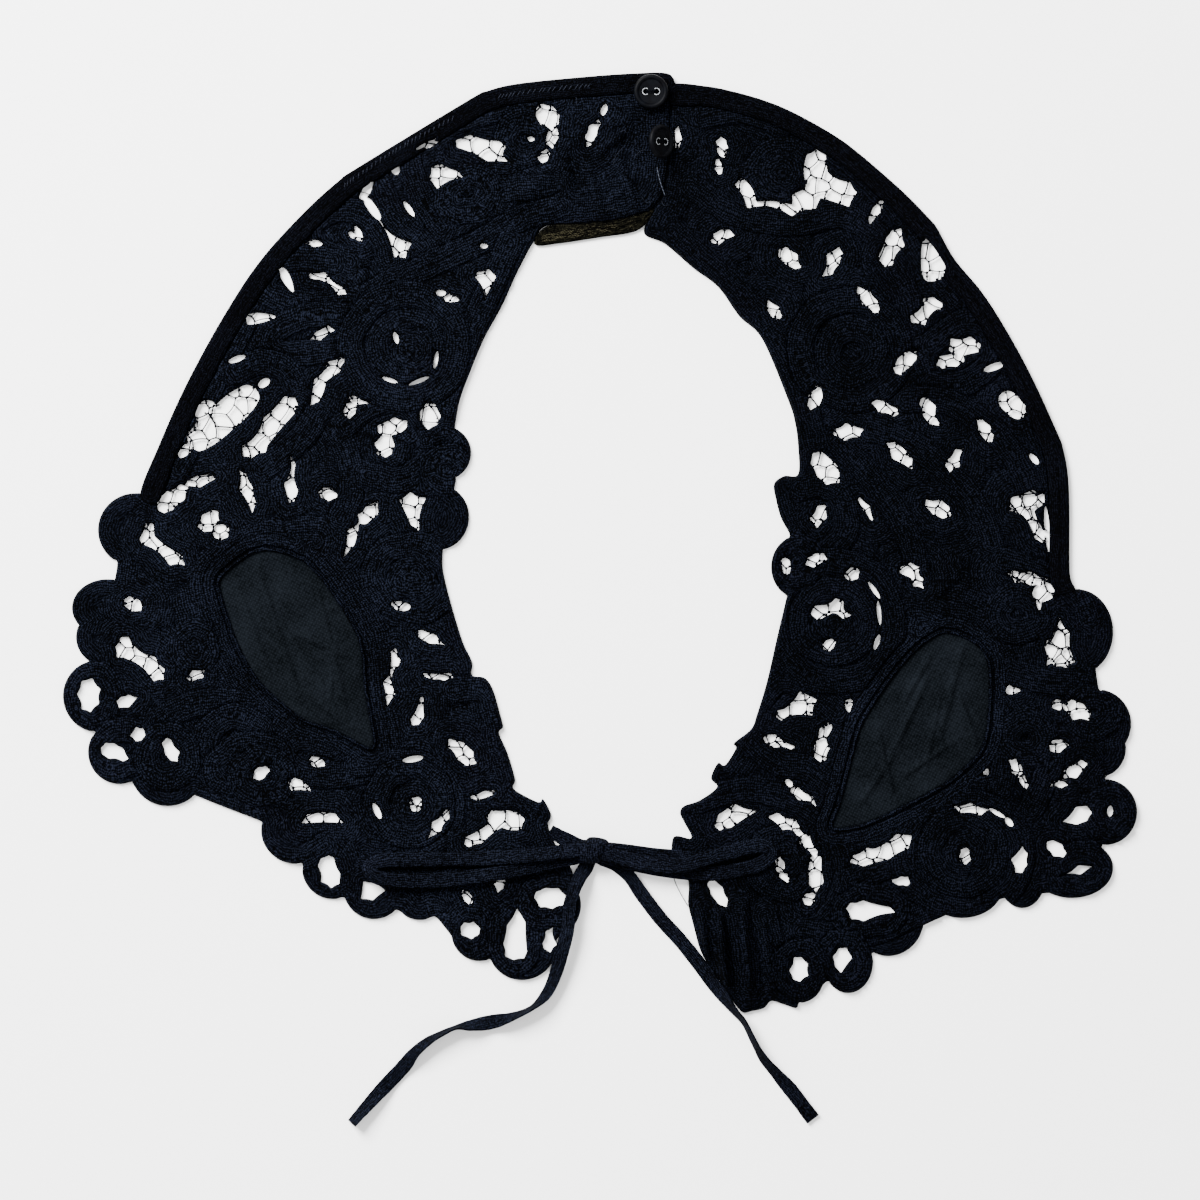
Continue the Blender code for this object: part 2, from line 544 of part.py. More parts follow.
def make_material(name, colour, roughness):
    material = bpy.data.materials.new(name)
    material.use_nodes = True
    shader = material.node_tree.nodes["Principled BSDF"]
    shader.inputs["Base Color"].default_value = (*colour, 1.0)
    shader.inputs["Roughness"].default_value = roughness
    shader.inputs["Metallic"].default_value = 0.0
    return material


def half_outline(side):
    """The ground of one half, without its scallops."""
    if side == "left":
        outer, line, inner, end = outer_left, scallop_line_left, inner_left, closure_left
    else:
        outer, line, inner, end = outer_right, scallop_line_right, inner_right, closure_right
    curve = thin_line(smooth_line(charted(outer), outline_step), outline_tolerance)
    return curve + [Vector(place(*row)) for row in line + inner + end]


def fold_height(side, points):
    """How far the soft folds lift the face at each point (mm)."""
    lift = np.zeros(len(points))
    for half, start, end, tall, reach in folds:
        if half == side:
            away = distance_to(points, [(*place(*start), *place(*end))])
            lift = np.maximum(lift, tall * np.exp(-(away / reach) ** 2))
    return lift


def lace_half(side, gap_rows, edge_line, leaf_outline):
    """One half of the lace, with its gaps cut through, clear of the tapes sewn to it."""
    ground = half_outline(side)
    rings = [ring(*row[1:]) for row in scallops if row[0] == side]
    gaps = [gap_outline(row) for row in gap_rows]
    tape = strip_outline(edge_line, edge_tape_width + seam_gap, tape_clearance)
    frame = widened(leaf_outline, frame_tape_width + seam_gap)

    def keep(points):
        chosen = inside(points, ground)
        for outline in rings:
            chosen |= inside(points, outline)
        for outline in gaps + [tape, frame]:
            chosen &= ~inside(points, outline)
        return chosen

    half_braid = braid_width / 2
    ridges = []
    for row in gap_rows:
        ridges += gap_outline(row, ridge_step, half_braid)
    for row in scallops:
        if row[0] == side:
            inset = [size - half_braid / chart_square for size in row[3:]]
            ridges += ring(row[1], row[2], *inset, ridge_step)
    for half, start, end, *_ in folds:
        if half == side:
            ridges += line_points(start, end, fold_parts)
    loops = [ground] + rings + gaps + [tape, frame]
    spots, faces = triangulate(loops, [], keep)
    segments = [(*spots[a], *spots[b]) for a, b in border_edges(tidy_region(faces))]
    trial = np.array([tuple(point) for point in ridges])
    clear = keep(trial) & (distance_to(trial, segments) > ridge_clearance * half_braid)
    ridges = spread_out([tuple(point) for point in trial[clear]], ridge_step)

    def height(points, from_edge):
        rise = np.clip(from_edge / half_braid, 0, 1)
        body = lace_edge_height + (lace_height - lace_edge_height) * np.sin(rise * math.pi / 2)
        return body + fold_height(side, points) * rise

    return slab("lace_" + side, loops, keep, height, ridges)


def tape_along(name, line, width, tall, gap_rows=()):
    """A domed tape along an open line, its outer edge on the line."""
    outline = strip_outline(line, width, 0.0)
    gaps = [gap_outline(row) for row in gap_rows]
    crest = strip_outline(line, width / 2, 0.0)[:len(line)]

    def keep(points):
        chosen = inside(points, outline)
        for gap in gaps:
            chosen &= ~inside(points, gap)
        return chosen

    def height(points, from_edge):
        rise = np.clip(from_edge / (edge_shoulder * width), 0, 1)
        return lace_edge_height + (tall - lace_edge_height) * np.sin(rise * math.pi / 2)

    return slab(name, [outline] + gaps, keep, height, crest[1:-1])


def frame_ring(name, leaf_outline):
    """The domed tape round a linen leaf."""
    inner = widened(leaf_outline, 0.0)
    outer = widened(leaf_outline, frame_tape_width)
    crest = widened(leaf_outline, frame_tape_width / 2)

    def keep(points):
        return inside(points, outer) & ~inside(points, inner)

    def height(points, from_edge):
        rise = np.clip(from_edge / (frame_shoulder * frame_tape_width), 0, 1)
        return lace_edge_height + (frame_height - lace_edge_height) * rise

    return slab(name, [inner, outer], keep, height, crest)


def leaf(name, leaf_outline, ridges):
    """The linen leaf inside its frame, with a few soft wrinkles."""
    outline = widened(leaf_outline, -seam_gap)
    points = widened(leaf_outline, -linen_hem)
    for start, end in ridges:
        points += line_points(start, end, wrinkle_parts)
    extra = spread_out([tuple(point) for point in points[::-1]], wrinkle_step)

    def keep(points):
        return inside(points, outline)

    def height(points, from_edge):
        lift = np.zeros(len(points))
        for start, end in ridges:
            away = distance_to(points, [(*place(*start), *place(*end))])
            lift = np.maximum(lift, wrinkle_height * np.exp(-(away / wrinkle_reach) ** 2))
        return linen_height + lift * np.clip(from_edge / linen_shoulder, 0, 1)

    return slab(name, [outline], keep, height, extra)


def flat_tie(name, rows):
    """A flat tape swept along its route, rolled as each row says."""
    spots = [Vector((*place(column, row), height)) for column, row, height, roll in rows]
    curve, rolls = [], []
    for index, spot in enumerate(spots[:-1]):
        before, after = spots[max(index - 1, 0)], spots[min(index + 2, len(spots) - 1)]
        end = spots[index + 1]
        pieces = max(1, round((end - spot).length / tie_step))
        for step in range(pieces):
            part = step / pieces
            curve.append(0.5 * (2 * spot + (end - before) * part
                                + (2 * before - 5 * spot + 4 * end - after) * part ** 2
                                + (3 * spot - before - 3 * end + after) * part ** 3))
            rolls.append(rows[index][3] * (1 - part) + rows[index + 1][3] * part)
    curve.append(spots[-1])
    rolls.append(rows[-1][3])
    vertices, faces = [], []
    corners = ((-1, -1), (1, -1), (1, 1), (-1, 1))
    for index, (spot, roll) in enumerate(zip(curve, rolls)):
        along = curve[min(index + 1, len(curve) - 1)] - curve[max(index - 1, 0)]
        flat = Vector((-along.y, along.x, 0.0)).normalized()
        up = along.cross(flat) * -1
        up = -up.normalized() if up.z < 0 else up.normalized()
        turn = math.radians(roll)
        across = flat * math.cos(turn) + up * math.sin(turn)
        over = up * math.cos(turn) - flat * math.sin(turn)
        reach = (abs(across.z) * tie_width + abs(over.z) * tie_thickness) / 2
        spot.z = max(spot.z, reach + tie_clearance)
        for side, face in corners:
            vertices.append((spot + across * side * tie_width / 2
                             + over * face * tie_thickness / 2) * MM)
    for index in range(len(curve) - 1):
        first = 4 * index
        for corner in range(4):
            following = (corner + 1) % 4
            faces.append((first + corner, first + following, first + 4 + following,
                          first + 4 + corner))
    faces.append((3, 2, 1, 0))
    faces.append(tuple(len(vertices) - 4 + corner for corner in range(4)))
    mesh = bpy.data.meshes.new(name)
    mesh.from_pydata([tuple(vertex) for vertex in vertices], [], faces)
    bm = bmesh.new()
    bm.from_mesh(mesh)
    bmesh.ops.recalc_face_normals(bm, faces=bm.faces)
    bm.to_mesh(mesh)
    bm.free()
    return bpy.data.objects.new(name, mesh)


def button(name, column, row, seat, lean):
    """A turned button with a raised rim and a dished face."""
    radius = button_diameter / 2
    mesh = bpy.data.meshes.new(name)
    points = [((radius - inset) * MM, 0.0, height * MM) for inset, height in button_section]
    mesh.from_pydata(points, [(i, i + 1) for i in range(len(points) - 1)], [])
    item = bpy.data.objects.new(name, mesh)
    turned = item.modifiers.new("turned", "SCREW")
    turned.angle = 2 * math.pi
    turned.steps = button_steps
    turned.render_steps = button_steps
    turned.use_merge_vertices = True
    turned.merge_threshold = merge_distance
    turned.use_smooth_shade = True
    x, y = place(column, row)
    tilt = math.radians(lean)
    item.rotation_euler = (0.0, tilt, 0.0)
    item.location = (x * MM, y * MM, (seat + radius * math.sin(tilt)) * MM)
    return item


def main():
    for old in list(bpy.data.objects):
        bpy.data.objects.remove(old, do_unlink=True)
    collection = bpy.data.collections.new("tape_lace_collar")
    bpy.context.scene.collection.children.link(collection)
    materials = {name: make_material(name, colour, roughness[name == "button"])
                 for name, colour in colours.items()}

    for side, outer, gap_rows, leaf_points in (("left", outer_left, gaps_left, leaf_left),
                                               ("right", outer_right, gaps_right, leaf_right)):
        edge = thin_line(smooth_line(charted(outer), outline_step), outline_tolerance)
        if side == "right":
            edge.reverse()
        outline = thin_line(smooth_line(charted(leaf_points), outline_step, True),
                            outline_tolerance, True)
        finish(lace_half(side, gap_rows, edge, outline), materials["lace"], collection)
        finish(tape_along("edge_tape_" + side, edge, edge_tape_width, edge_tape_height, gap_rows),
               materials["tape"], collection)
        finish(frame_ring("leaf_frame_" + side, outline), materials["tape"], collection)
        finish(leaf("leaf_" + side, outline, wrinkles[side]), materials["linen"], collection)

    strip = [Vector(place(*row)) for row in turned_tape]
    finish(slab("turned_neck_tape", [strip], lambda points: inside(points, strip),
                lambda points, away: np.full(len(points), turned_tape_height)),
           materials["turned"], collection)

    for name, rows in tie_routes.items():
        finish(flat_tie(name, rows), materials["tie"], collection)
    bpy.ops.mesh.primitive_cube_add(size=1.0)
    knot = bpy.context.object
    knot.name = "tie_knot"
    knot.data.name = "tie_knot"
    for owner in list(knot.users_collection):
        owner.objects.unlink(knot)
    knot.scale = [size * MM for size in knot_size]
    x, y = place(*knot_middle)
    knot.location = (x * MM, y * MM, (knot_underside + knot_size[2] / 2) * MM)
    finish(knot, materials["tie"], collection)
    knot.data.transform(knot.matrix_basis.to_3x3().to_4x4())
    knot.scale = (1.0, 1.0, 1.0)
    rounded = knot.modifiers.new("rounded", "BEVEL")
    rounded.width = knot_rounding * MM
    rounded.segments = rounding_steps

    for row in buttons:
        finish(button(*row), materials["button"], collection)


main()
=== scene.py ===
import json
import math
import random

import bmesh
import bpy
import numpy as np
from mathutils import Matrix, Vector, noise
from mathutils.geometry import delaunay_2d_cdt

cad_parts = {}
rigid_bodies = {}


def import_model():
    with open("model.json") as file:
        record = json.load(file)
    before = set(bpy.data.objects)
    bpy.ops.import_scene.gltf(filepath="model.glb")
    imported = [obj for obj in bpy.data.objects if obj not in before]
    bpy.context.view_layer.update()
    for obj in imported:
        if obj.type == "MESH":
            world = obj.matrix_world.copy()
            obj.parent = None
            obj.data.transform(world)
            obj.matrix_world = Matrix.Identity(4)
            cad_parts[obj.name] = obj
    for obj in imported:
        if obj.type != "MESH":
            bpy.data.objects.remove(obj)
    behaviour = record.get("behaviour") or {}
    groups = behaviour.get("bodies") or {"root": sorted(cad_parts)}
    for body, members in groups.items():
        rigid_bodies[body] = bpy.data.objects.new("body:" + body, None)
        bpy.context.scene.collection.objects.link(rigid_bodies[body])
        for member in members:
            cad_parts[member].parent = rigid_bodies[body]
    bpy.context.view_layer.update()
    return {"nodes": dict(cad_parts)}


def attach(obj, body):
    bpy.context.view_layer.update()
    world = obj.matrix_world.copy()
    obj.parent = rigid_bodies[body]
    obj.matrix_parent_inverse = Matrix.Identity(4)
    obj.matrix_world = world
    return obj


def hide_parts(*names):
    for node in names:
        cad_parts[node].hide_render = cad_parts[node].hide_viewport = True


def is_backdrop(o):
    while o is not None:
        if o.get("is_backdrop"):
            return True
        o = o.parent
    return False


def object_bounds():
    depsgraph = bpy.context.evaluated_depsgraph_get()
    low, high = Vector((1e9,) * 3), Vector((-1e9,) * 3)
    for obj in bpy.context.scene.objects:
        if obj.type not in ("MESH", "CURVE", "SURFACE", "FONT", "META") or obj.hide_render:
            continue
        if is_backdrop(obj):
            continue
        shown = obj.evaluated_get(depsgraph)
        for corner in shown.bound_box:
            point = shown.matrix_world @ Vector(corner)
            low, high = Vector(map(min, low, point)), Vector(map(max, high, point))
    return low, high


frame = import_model()
print("frame loaded:", len(frame["nodes"]), "nodes")
shown = bpy.context.scene.collection.objects

# a tape lace false collar laid flat; sizes are in millimetres until a mesh is made
mm = 0.001
chart = {"square": 0.36, "column": 600.0, "row": 543.5}  # the drafting chart over the collar


def place(column, row):
    # chart square to millimetres
    return np.array([(column - chart["column"]) * chart["square"],
                     (chart["row"] - row) * chart["square"]])


# straight above, as far back as a copy stand
view = {"width": 432.0, "middle": (0.0, -20.34), "height": 2.2, "sensor": 36.0}
cameraData = bpy.data.cameras.new("topCamera")
cameraData.sensor_width = view["sensor"]
cameraData.lens = view["sensor"] * view["height"] / (view["width"] * mm)
cameraData.clip_end = 10.0
camera = bpy.data.objects.new("topCamera", cameraData)
camera.location = (view["middle"][0] * mm, view["middle"][1] * mm, view["height"])
shown.link(camera)
bpy.context.scene.camera = camera

studio = {
    "key": {"at": (-1.15, 1.25, 1.45), "size": 1.1, "watts": 320.0},
    "fill": {"at": (1.2, -1.0, 1.8), "size": 1.8, "watts": 25.0},
    "sky": 1.2,
}


def softLight(name, spec):
    data = bpy.data.lights.new(name, "AREA")
    data.size = spec["size"]
    data.energy = spec["watts"]
    item = bpy.data.objects.new(name, data)
    item.location = spec["at"]
    item.rotation_euler = (-Vector(spec["at"])).to_track_quat("-Z", "Y").to_euler()
    shown.link(item)


softLight("keyLight", studio["key"])
softLight("fillLight", studio["fill"])
world = bpy.data.worlds.new("paleStudio")
bpy.context.scene.world = world
world.use_nodes = True
world.node_tree.nodes["Background"].inputs["Color"].default_value = (1.0, 1.0, 1.0, 1.0)
world.node_tree.nodes["Background"].inputs["Strength"].default_value = studio["sky"]


def hexColour(text):
    # sRGB hex to a linear colour
    parts = [int(text[i:i + 2], 16) / 255 for i in (1, 3, 5)]
    linear = [p / 12.92 if p <= 0.04045 else ((p + 0.055) / 1.055) ** 2.4 for p in parts]
    return (*linear, 1.0)


def addNode(tree, kind, settings=None, values=None, links=None):
    # values are set on its inputs and links come into them
    node = tree.nodes.new(kind)
    for key, value in (settings or {}).items():
        setattr(node, key, value)
    for key, value in (values or {}).items():
        node.inputs[key].default_value = value
    for key, socket in (links or {}).items():
        tree.links.new(socket, node.inputs[key])
    return node


def startMaterial(name, roughness, specular):
    material = bpy.data.materials.new(name)
    material.use_nodes = True
    shader = material.node_tree.nodes["Principled BSDF"]
    shader.inputs["Roughness"].default_value = roughness
    shader.inputs["Specular IOR Level"].default_value = specular
    return material, material.node_tree, shader


def colourAndRelief(tree, shader, stops, tone, height, strength, depth):
    # the tone runs through the colour stops and the height stands out by depth millimetres
    ramp = addNode(tree, "ShaderNodeValToRGB", None, None, {"Fac": tone})
    for _ in stops[2:]:
        ramp.color_ramp.elements.new(0.5)
    for element, (position, text) in zip(ramp.color_ramp.elements, stops):
        element.position = position
        element.color = hexColour(text)
    tree.links.new(ramp.outputs["Color"], shader.inputs["Base Color"])
    bump = addNode(tree, "ShaderNodeBump", None, {"Strength": strength, "Distance": depth * mm},
                   {"Height": height})
    tree.links.new(bump.outputs["Normal"], shader.inputs["Normal"])


weave = {
    "shifts": ((230.0, 2.2), (900.0, 1.15)),  # lines wander and threads shake: scale, reach
    "shares": {"cords": 0.58, "picks": 0.5, "fuzz": 1.6, "cloud": 0.6},
    "span": (1.04, 2.3),  # darkest and lightest tone
    "stops": (0.28, 0.55, 0.92),
}


def wovenTape(name, hexes, along=0.95, across=0.75, depth=0.28):
    # cotton tape, woven: fine cords run along it and short picks cross them, so it reads as a
    # matt cloth combed with broken lines; both pitches are drawn a little coarse so they show
    material, tree, shader = startMaterial(name, 0.85, 0.012)
    shares = weave["shares"]
    way = addNode(tree, "ShaderNodeUVMap", {"uv_map": "tapeWay"})
    spot = addNode(tree, "ShaderNodeTexCoord")
    onCloth = {"Vector": spot.outputs["Object"]}
    here = way.outputs["UV"]
    for scale, reach in weave["shifts"]:
        push = addNode(tree, "ShaderNodeTexNoise", None, {"Scale": scale, "Detail": 2.0}, onCloth)
        moved = addNode(tree, "ShaderNodeVectorMath", {"operation": "MULTIPLY_ADD"},
                        {1: (reach, reach, 0.0)}, {0: push.outputs["Color"], 2: here})
        here = moved.outputs["Vector"]
    cords, picks = (addNode(tree, "ShaderNodeTexWave", {"bands_direction": heading},
                            {"Scale": math.pi / (10 * pitch), "Distortion": 0.0}, {"Vector": here})
                    for heading, pitch in (("Y", along), ("X", across)))
    fuzz = addNode(tree, "ShaderNodeTexNoise", None, {"Scale": 1150.0, "Detail": 2.0}, onCloth)
    cloud = addNode(tree, "ShaderNodeTexNoise", None, {"Scale": 60.0, "Detail": 3.0}, onCloth)
    crossed = addNode(tree, "ShaderNodeMath", {"operation": "MULTIPLY"}, {1: shares["picks"]},
                      {0: picks.outputs["Fac"]})
    combed = addNode(tree, "ShaderNodeMath", {"operation": "MULTIPLY_ADD"}, {1: shares["cords"]},
                     {0: cords.outputs["Fac"], 2: crossed.outputs["Value"]})
    rough = addNode(tree, "ShaderNodeMath", {"operation": "MULTIPLY_ADD"}, {1: shares["fuzz"]},
                    {0: fuzz.outputs["Fac"], 2: combed.outputs["Value"]})
    # the colour follows the same relief as the bump: the hollows between the threads are painted
    # darker as painted shade, over the tape's own cloudy tone
    tone = addNode(tree, "ShaderNodeMath", {"operation": "MULTIPLY_ADD"}, {1: shares["cloud"]},
                   {0: cloud.outputs["Fac"], 2: rough.outputs["Value"]})
    darkest, lightest = weave["span"]
    spread = addNode(tree, "ShaderNodeMapRange", None, {"From Min": darkest, "From Max": lightest},
                     {"Value": tone.outputs["Value"]})
    colourAndRelief(tree, shader, list(zip(weave["stops"], hexes)), spread.outputs["Result"],
                    rough.outputs["Value"], 1.0, depth)
    return material


def plainLinen(name, hexes, pitch=1.05):
    # linen, plain woven and washed: an even check of threads, slubs here and there; the threads
    # are drawn coarser than real so that they show
    material, tree, shader = startMaterial(name, 0.9, 0.012)
    spot = addNode(tree, "ShaderNodeTexCoord")
    onCloth = {"Vector": spot.outputs["Object"]}
    turned = addNode(tree, "ShaderNodeMapping", None, {"Rotation": (0.0, 0.0, math.radians(28))},
                     onCloth)
    threads = {"Scale": math.pi / (10 * pitch * mm), "Distortion": 0.8, "Detail Scale": 300.0}
    warp, weft = (addNode(tree, "ShaderNodeTexWave", {"bands_direction": way}, threads,
                          {"Vector": turned.outputs["Vector"]}) for way in "XY")
    check = addNode(tree, "ShaderNodeMath", {"operation": "MULTIPLY"}, None,
                    {0: warp.outputs["Fac"], 1: weft.outputs["Fac"]})
    slub = addNode(tree, "ShaderNodeTexNoise", None, {"Scale": 900.0, "Detail": 3.0}, onCloth)
    cloud = addNode(tree, "ShaderNodeTexNoise", None, {"Scale": 75.0, "Detail": 4.0}, onCloth)
    fine = addNode(tree, "ShaderNodeMath", {"operation": "MULTIPLY_ADD"}, {1: 0.5},
                   {0: check.outputs["Value"], 2: slub.outputs["Fac"]})
    tone = addNode(tree, "ShaderNodeMath", {"operation": "MULTIPLY_ADD"}, {1: 0.9},
                   {0: cloud.outputs["Fac"], 2: fine.outputs["Value"]})
    scaled = addNode(tree, "ShaderNodeMath", {"operation": "MULTIPLY"}, {1: 0.55},
                     {0: tone.outputs["Value"]})
    colourAndRelief(tree, shader, [(0.42, hexes[0]), (0.82, hexes[1])], scaled.outputs["Value"],
                    fine.outputs["Value"], 1.0, 0.22)
    return material


def spunThread(name, hexes, pitch=0.5):
    # sewing cotton, twisted: slanting plies give a thread its small light and dark beads
    material, tree, shader = startMaterial(name, 0.8, 0.02)
    spot = addNode(tree, "ShaderNodeTexCoord")
    plies = addNode(tree, "ShaderNodeTexWave", {"bands_direction": "DIAGONAL"},
                    {"Scale": math.pi / (10 * pitch * mm), "Distortion": 1.0},
                    {"Vector": spot.outputs["Object"]})
    colourAndRelief(tree, shader, [(0.0, hexes[0]), (1.0, hexes[1])], plies.outputs["Fac"],
                    plies.outputs["Fac"], 0.6, 0.05)
    return material


def pressedCasein(name, hexes):
    # casein button, turned and polished: a dark, faintly streaked gloss with fine lathe marks
    material, tree, shader = startMaterial(name, 0.5, 0.03)
    spot = addNode(tree, "ShaderNodeTexCoord")
    streak = addNode(tree, "ShaderNodeTexNoise", None, {"Scale": 420.0, "Detail": 4.0},
                     {"Vector": spot.outputs["Object"]})
    colourAndRelief(tree, shader, [(0.35, hexes[0]), (0.75, hexes[1])], streak.outputs["Fac"],
                    streak.outputs["Fac"], 0.35, 0.04)
    return material


# the right half's copy is darker than the left's: painted shade, as if the light fell from the left
laceTapes = {"left": wovenTape("navyLaceTape", ("#000000", "#020306", "#10131d")),
             "right": wovenTape("shadedNavyLaceTape", ("#000000", "#010204", "#0c0e17"))}
# the edge tape is drawn darker than the lace: painted shade along its rolled outer edge
edgeTape = wovenTape("navyEdgeTape", ("#000000", "#010102", "#070910"), 0.8, 0.6, 0.2)
tieTape = wovenTape("navyTieTape", ("#000000", "#030408", "#12151f"), 0.8, 0.6, 0.2)
oliveTape = wovenTape("fadedOliveTape", ("#000000", "#010101", "#191810"), 0.7, 0.5, 0.25)
slateLinen = plainLinen("slateLinen", ("#020304", "#0d1014"))
darkThread = spunThread("navyThread", ("#000001", "#05060a"))
greyThread = spunThread("greyThread", ("#14161c", "#3c4049"))
whipThread = spunThread("whipThread", ("#07080c", "#1e212a"))
frayThread = spunThread("frayedOliveThread", ("#100f0a", "#363325"))
# pale thread for the rings round the button holes: a painted highlight
paintedHoleHighlight = spunThread("paintedHoleHighlight", ("#5a5d63", "#a9acb0"))
buttonCasein = pressedCasein("blackCasein", ("#010102", "#040508"))
floorMaterial, _, floorShader = startMaterial("mattWhitePaper", 0.9, 0.1)
floorShader.inputs["Base Color"].default_value = hexColour("#fafafa")
print("materials ready")

floorMesh = bpy.data.meshes.new("paperFloor")
floorMesh.from_pydata([(-3, -3, 0), (3, -3, 0), (3, 3, 0), (-3, 3, 0)], [], [(0, 1, 2, 3)])
floorMesh.materials.append(floorMaterial)
floor = bpy.data.objects.new("paperFloor", floorMesh)
floor.location = (0.0, 0.0, -0.0003)
shown.link(floor)
floor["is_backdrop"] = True


def undersideLoops(nodeName):
    # closed outlines of a node's level underside, the longest first
    mesh = frame["nodes"][nodeName].data
    spots = [(round(v.co.x / mm, 3), round(v.co.y / mm, 3), v.co.z / mm) for v in mesh.vertices]
    following = {}
    edges = set()
    for polygon in mesh.polygons:
        corners = [spots[i] for i in polygon.vertices]
        if max(c[2] for c in corners) < 0.02:
            flat = [c[:2] for c in corners]
            for i in range(len(flat)):
                edges.add((flat[i - 1], flat[i]))
    for start, end in edges:
        if (end, start) not in edges:
            following[start] = end
    loops = []
    while following:
        first = next(iter(sorted(following)))
        loop = [first]
        here = following.pop(first)
        while here != first and here in following:
            loop.append(here)
            here = following.pop(here)
        if len(loop) > 3:
            loops.append(np.array(loop))
    loops.sort(key=lambda loop: -np.hypot(*(loop - np.roll(loop, 1, 0)).T).sum())
    return loops


def smoothLine(points, step, closed):
    # a curve through the points, cut evenly
    spots = np.array(points, float)
    count = len(spots)
    result = []
    for i in range(count if closed else count - 1):
        if closed:
            before, start, end, after = (spots[(i + k) % count] for k in (-1, 0, 1, 2))
        else:
            before, start = spots[max(i - 1, 0)], spots[i]
            end, after = spots[i + 1], spots[min(i + 2, count - 1)]
        pieces = max(1, round(float(np.linalg.norm(end - start)) / step))
        for part in np.arange(pieces) / pieces:
            result.append(0.5 * (2 * start + (end - before) * part
                                 + (2 * before - 5 * start + 4 * end - after) * part ** 2
                                 + (3 * start - before - 3 * end + after) * part ** 3))
    if not closed:
        result.append(spots[-1])
    return np.array(result)


def drawn(row, step, closed=False):
    # a smooth line through chart squares
    return smoothLine([place(*spot) for spot in row], step, closed)


def ovalLoop(column, row, length, width, turn, step):
    # a small oval slit
    middle = place(column, row)
    angle = math.radians(turn)
    along = np.array([math.cos(angle), math.sin(angle)])
    across = np.array([-along[1], along[0]])
    count = max(8, round(math.pi * (length + width) / 2 * chart["square"] / step))
    swing = 2 * math.pi * np.arange(count)[:, None] / count
    return middle + chart["square"] / 2 * (np.cos(swing) * length * along
                                           + np.sin(swing) * width * across)


def wobbled(loop, amount, seed):
    # hand-drawn unevenness: the loop pushed in and out a little along its own normal
    ahead, behind = np.roll(loop, -1, 0), np.roll(loop, 1, 0)
    along = ahead - behind
    normal = np.stack([-along[:, 1], along[:, 0]], 1)
    normal /= np.maximum(np.hypot(*normal.T), 1e-9)[:, None]
    way = np.cumsum(np.hypot(*(loop - behind).T))
    draw = random.Random(seed)
    total = way[-1]
    push = sum(draw.uniform(0.4, 1.0) * np.sin(2 * math.pi * (wave * way / total + draw.random()))
               for wave in (2, 3, 5, 7))
    return loop + normal * (amount * push / 2)[:, None]


def signedArea(loop):
    # above zero where the loop runs anticlockwise
    ahead = np.roll(loop, -1, 0)
    return float((loop[:, 0] * ahead[:, 1] - loop[:, 1] * ahead[:, 0]).sum()) / 2


gapCut = {
    "share": 0.13,        # how far a side may leave the outline, as a share of the gap's size
    "most": 0.95,         # and in millimetres
    "corners": 24,
    "stretch": 0.15,      # corners drawn outwards
    "bow": (0.0, 0.14),   # how far the sides bow inwards
    "rounds": 1,          # rounds of softening
}


def tapeBound(loop, seed, step):
    # a gap between tapes: a few corners, with sides that bow inwards where a tape rounds them
    draw = random.Random(seed)
    middle = loop.mean(0)
    farthest = int(np.argmax(np.hypot(*(loop - middle).T)))
    keep = [farthest, int(np.argmax(np.hypot(*(loop - loop[farthest]).T)))]
    tolerance = min(gapCut["most"], gapCut["share"] * math.sqrt(abs(signedArea(loop))))
    while True:
        worst, spotToAdd = 0.0, None
        keep.sort()
        for i, start in enumerate(keep):
            end = keep[(i + 1) % len(keep)]
            span = np.arange(start, end if end > start else end + len(loop)) % len(loop)
            chord = loop[end] - loop[start]
            size = max(float(np.hypot(*chord)), 1e-6)
            off = np.abs(chord[0] * (loop[span] - loop[start])[:, 1]
                         - chord[1] * (loop[span] - loop[start])[:, 0]) / size
            if off.max() > worst:
                worst, spotToAdd = off.max(), int(span[off.argmax()])
        if len(keep) > 3 and (worst < tolerance or len(keep) > gapCut["corners"]):
            break
        keep.append(spotToAdd)
    corners = loop[keep]
    middle = corners.mean(0)
    corners = corners + (corners - middle) * gapCut["stretch"]
    result = []
    for i, corner in enumerate(corners):
        after = corners[(i + 1) % len(corners)]
        chord = after - corner
        inward = np.array([-chord[1], chord[0]])
        if inward @ (middle - (corner + after) / 2) < 0:
            inward = -inward
        pieces = max(2, round(float(np.hypot(*chord)) / step))
        bow = draw.uniform(*gapCut["bow"])
        for part in np.arange(pieces) / pieces:
            result.append(corner + chord * part + inward * bow * math.sin(math.pi * part))
    result = np.array(result)
    for _ in range(gapCut["rounds"]):
        result = 0.5 * result + 0.25 * (np.roll(result, 1, 0) + np.roll(result, -1, 0))
    return result


def insideLoop(points, loop):
    # which points the closed loop goes round
    x, y = points[:, 0], points[:, 1]
    result = np.zeros(len(points), bool)
    near = np.flatnonzero((x > loop[:, 0].min()) & (x < loop[:, 0].max())
                          & (y > loop[:, 1].min()) & (y < loop[:, 1].max()))
    x, y = x[near], y[near]
    crossed = np.zeros(len(near), bool)
    for (x1, y1), (x2, y2) in zip(np.roll(loop, 1, 0), loop):
        if y1 != y2:
            crossed ^= ((y1 > y) != (y2 > y)) & (x < (x2 - x1) * (y - y1) / (y2 - y1) + x1)
    result[near] = crossed
    return result


def insideCloth(points, loops):
    # within the outline and outside its holes
    inside = insideLoop(points, loops[0])
    for loop in loops[1:]:
        inside &= ~insideLoop(points, loop)
    return inside


def rimDistance(points, loops):
    # to the nearest cut edge, where one is near
    return np.minimum.reduce([nearestOn(points, loop, True, 2.0)[0] for loop in loops])


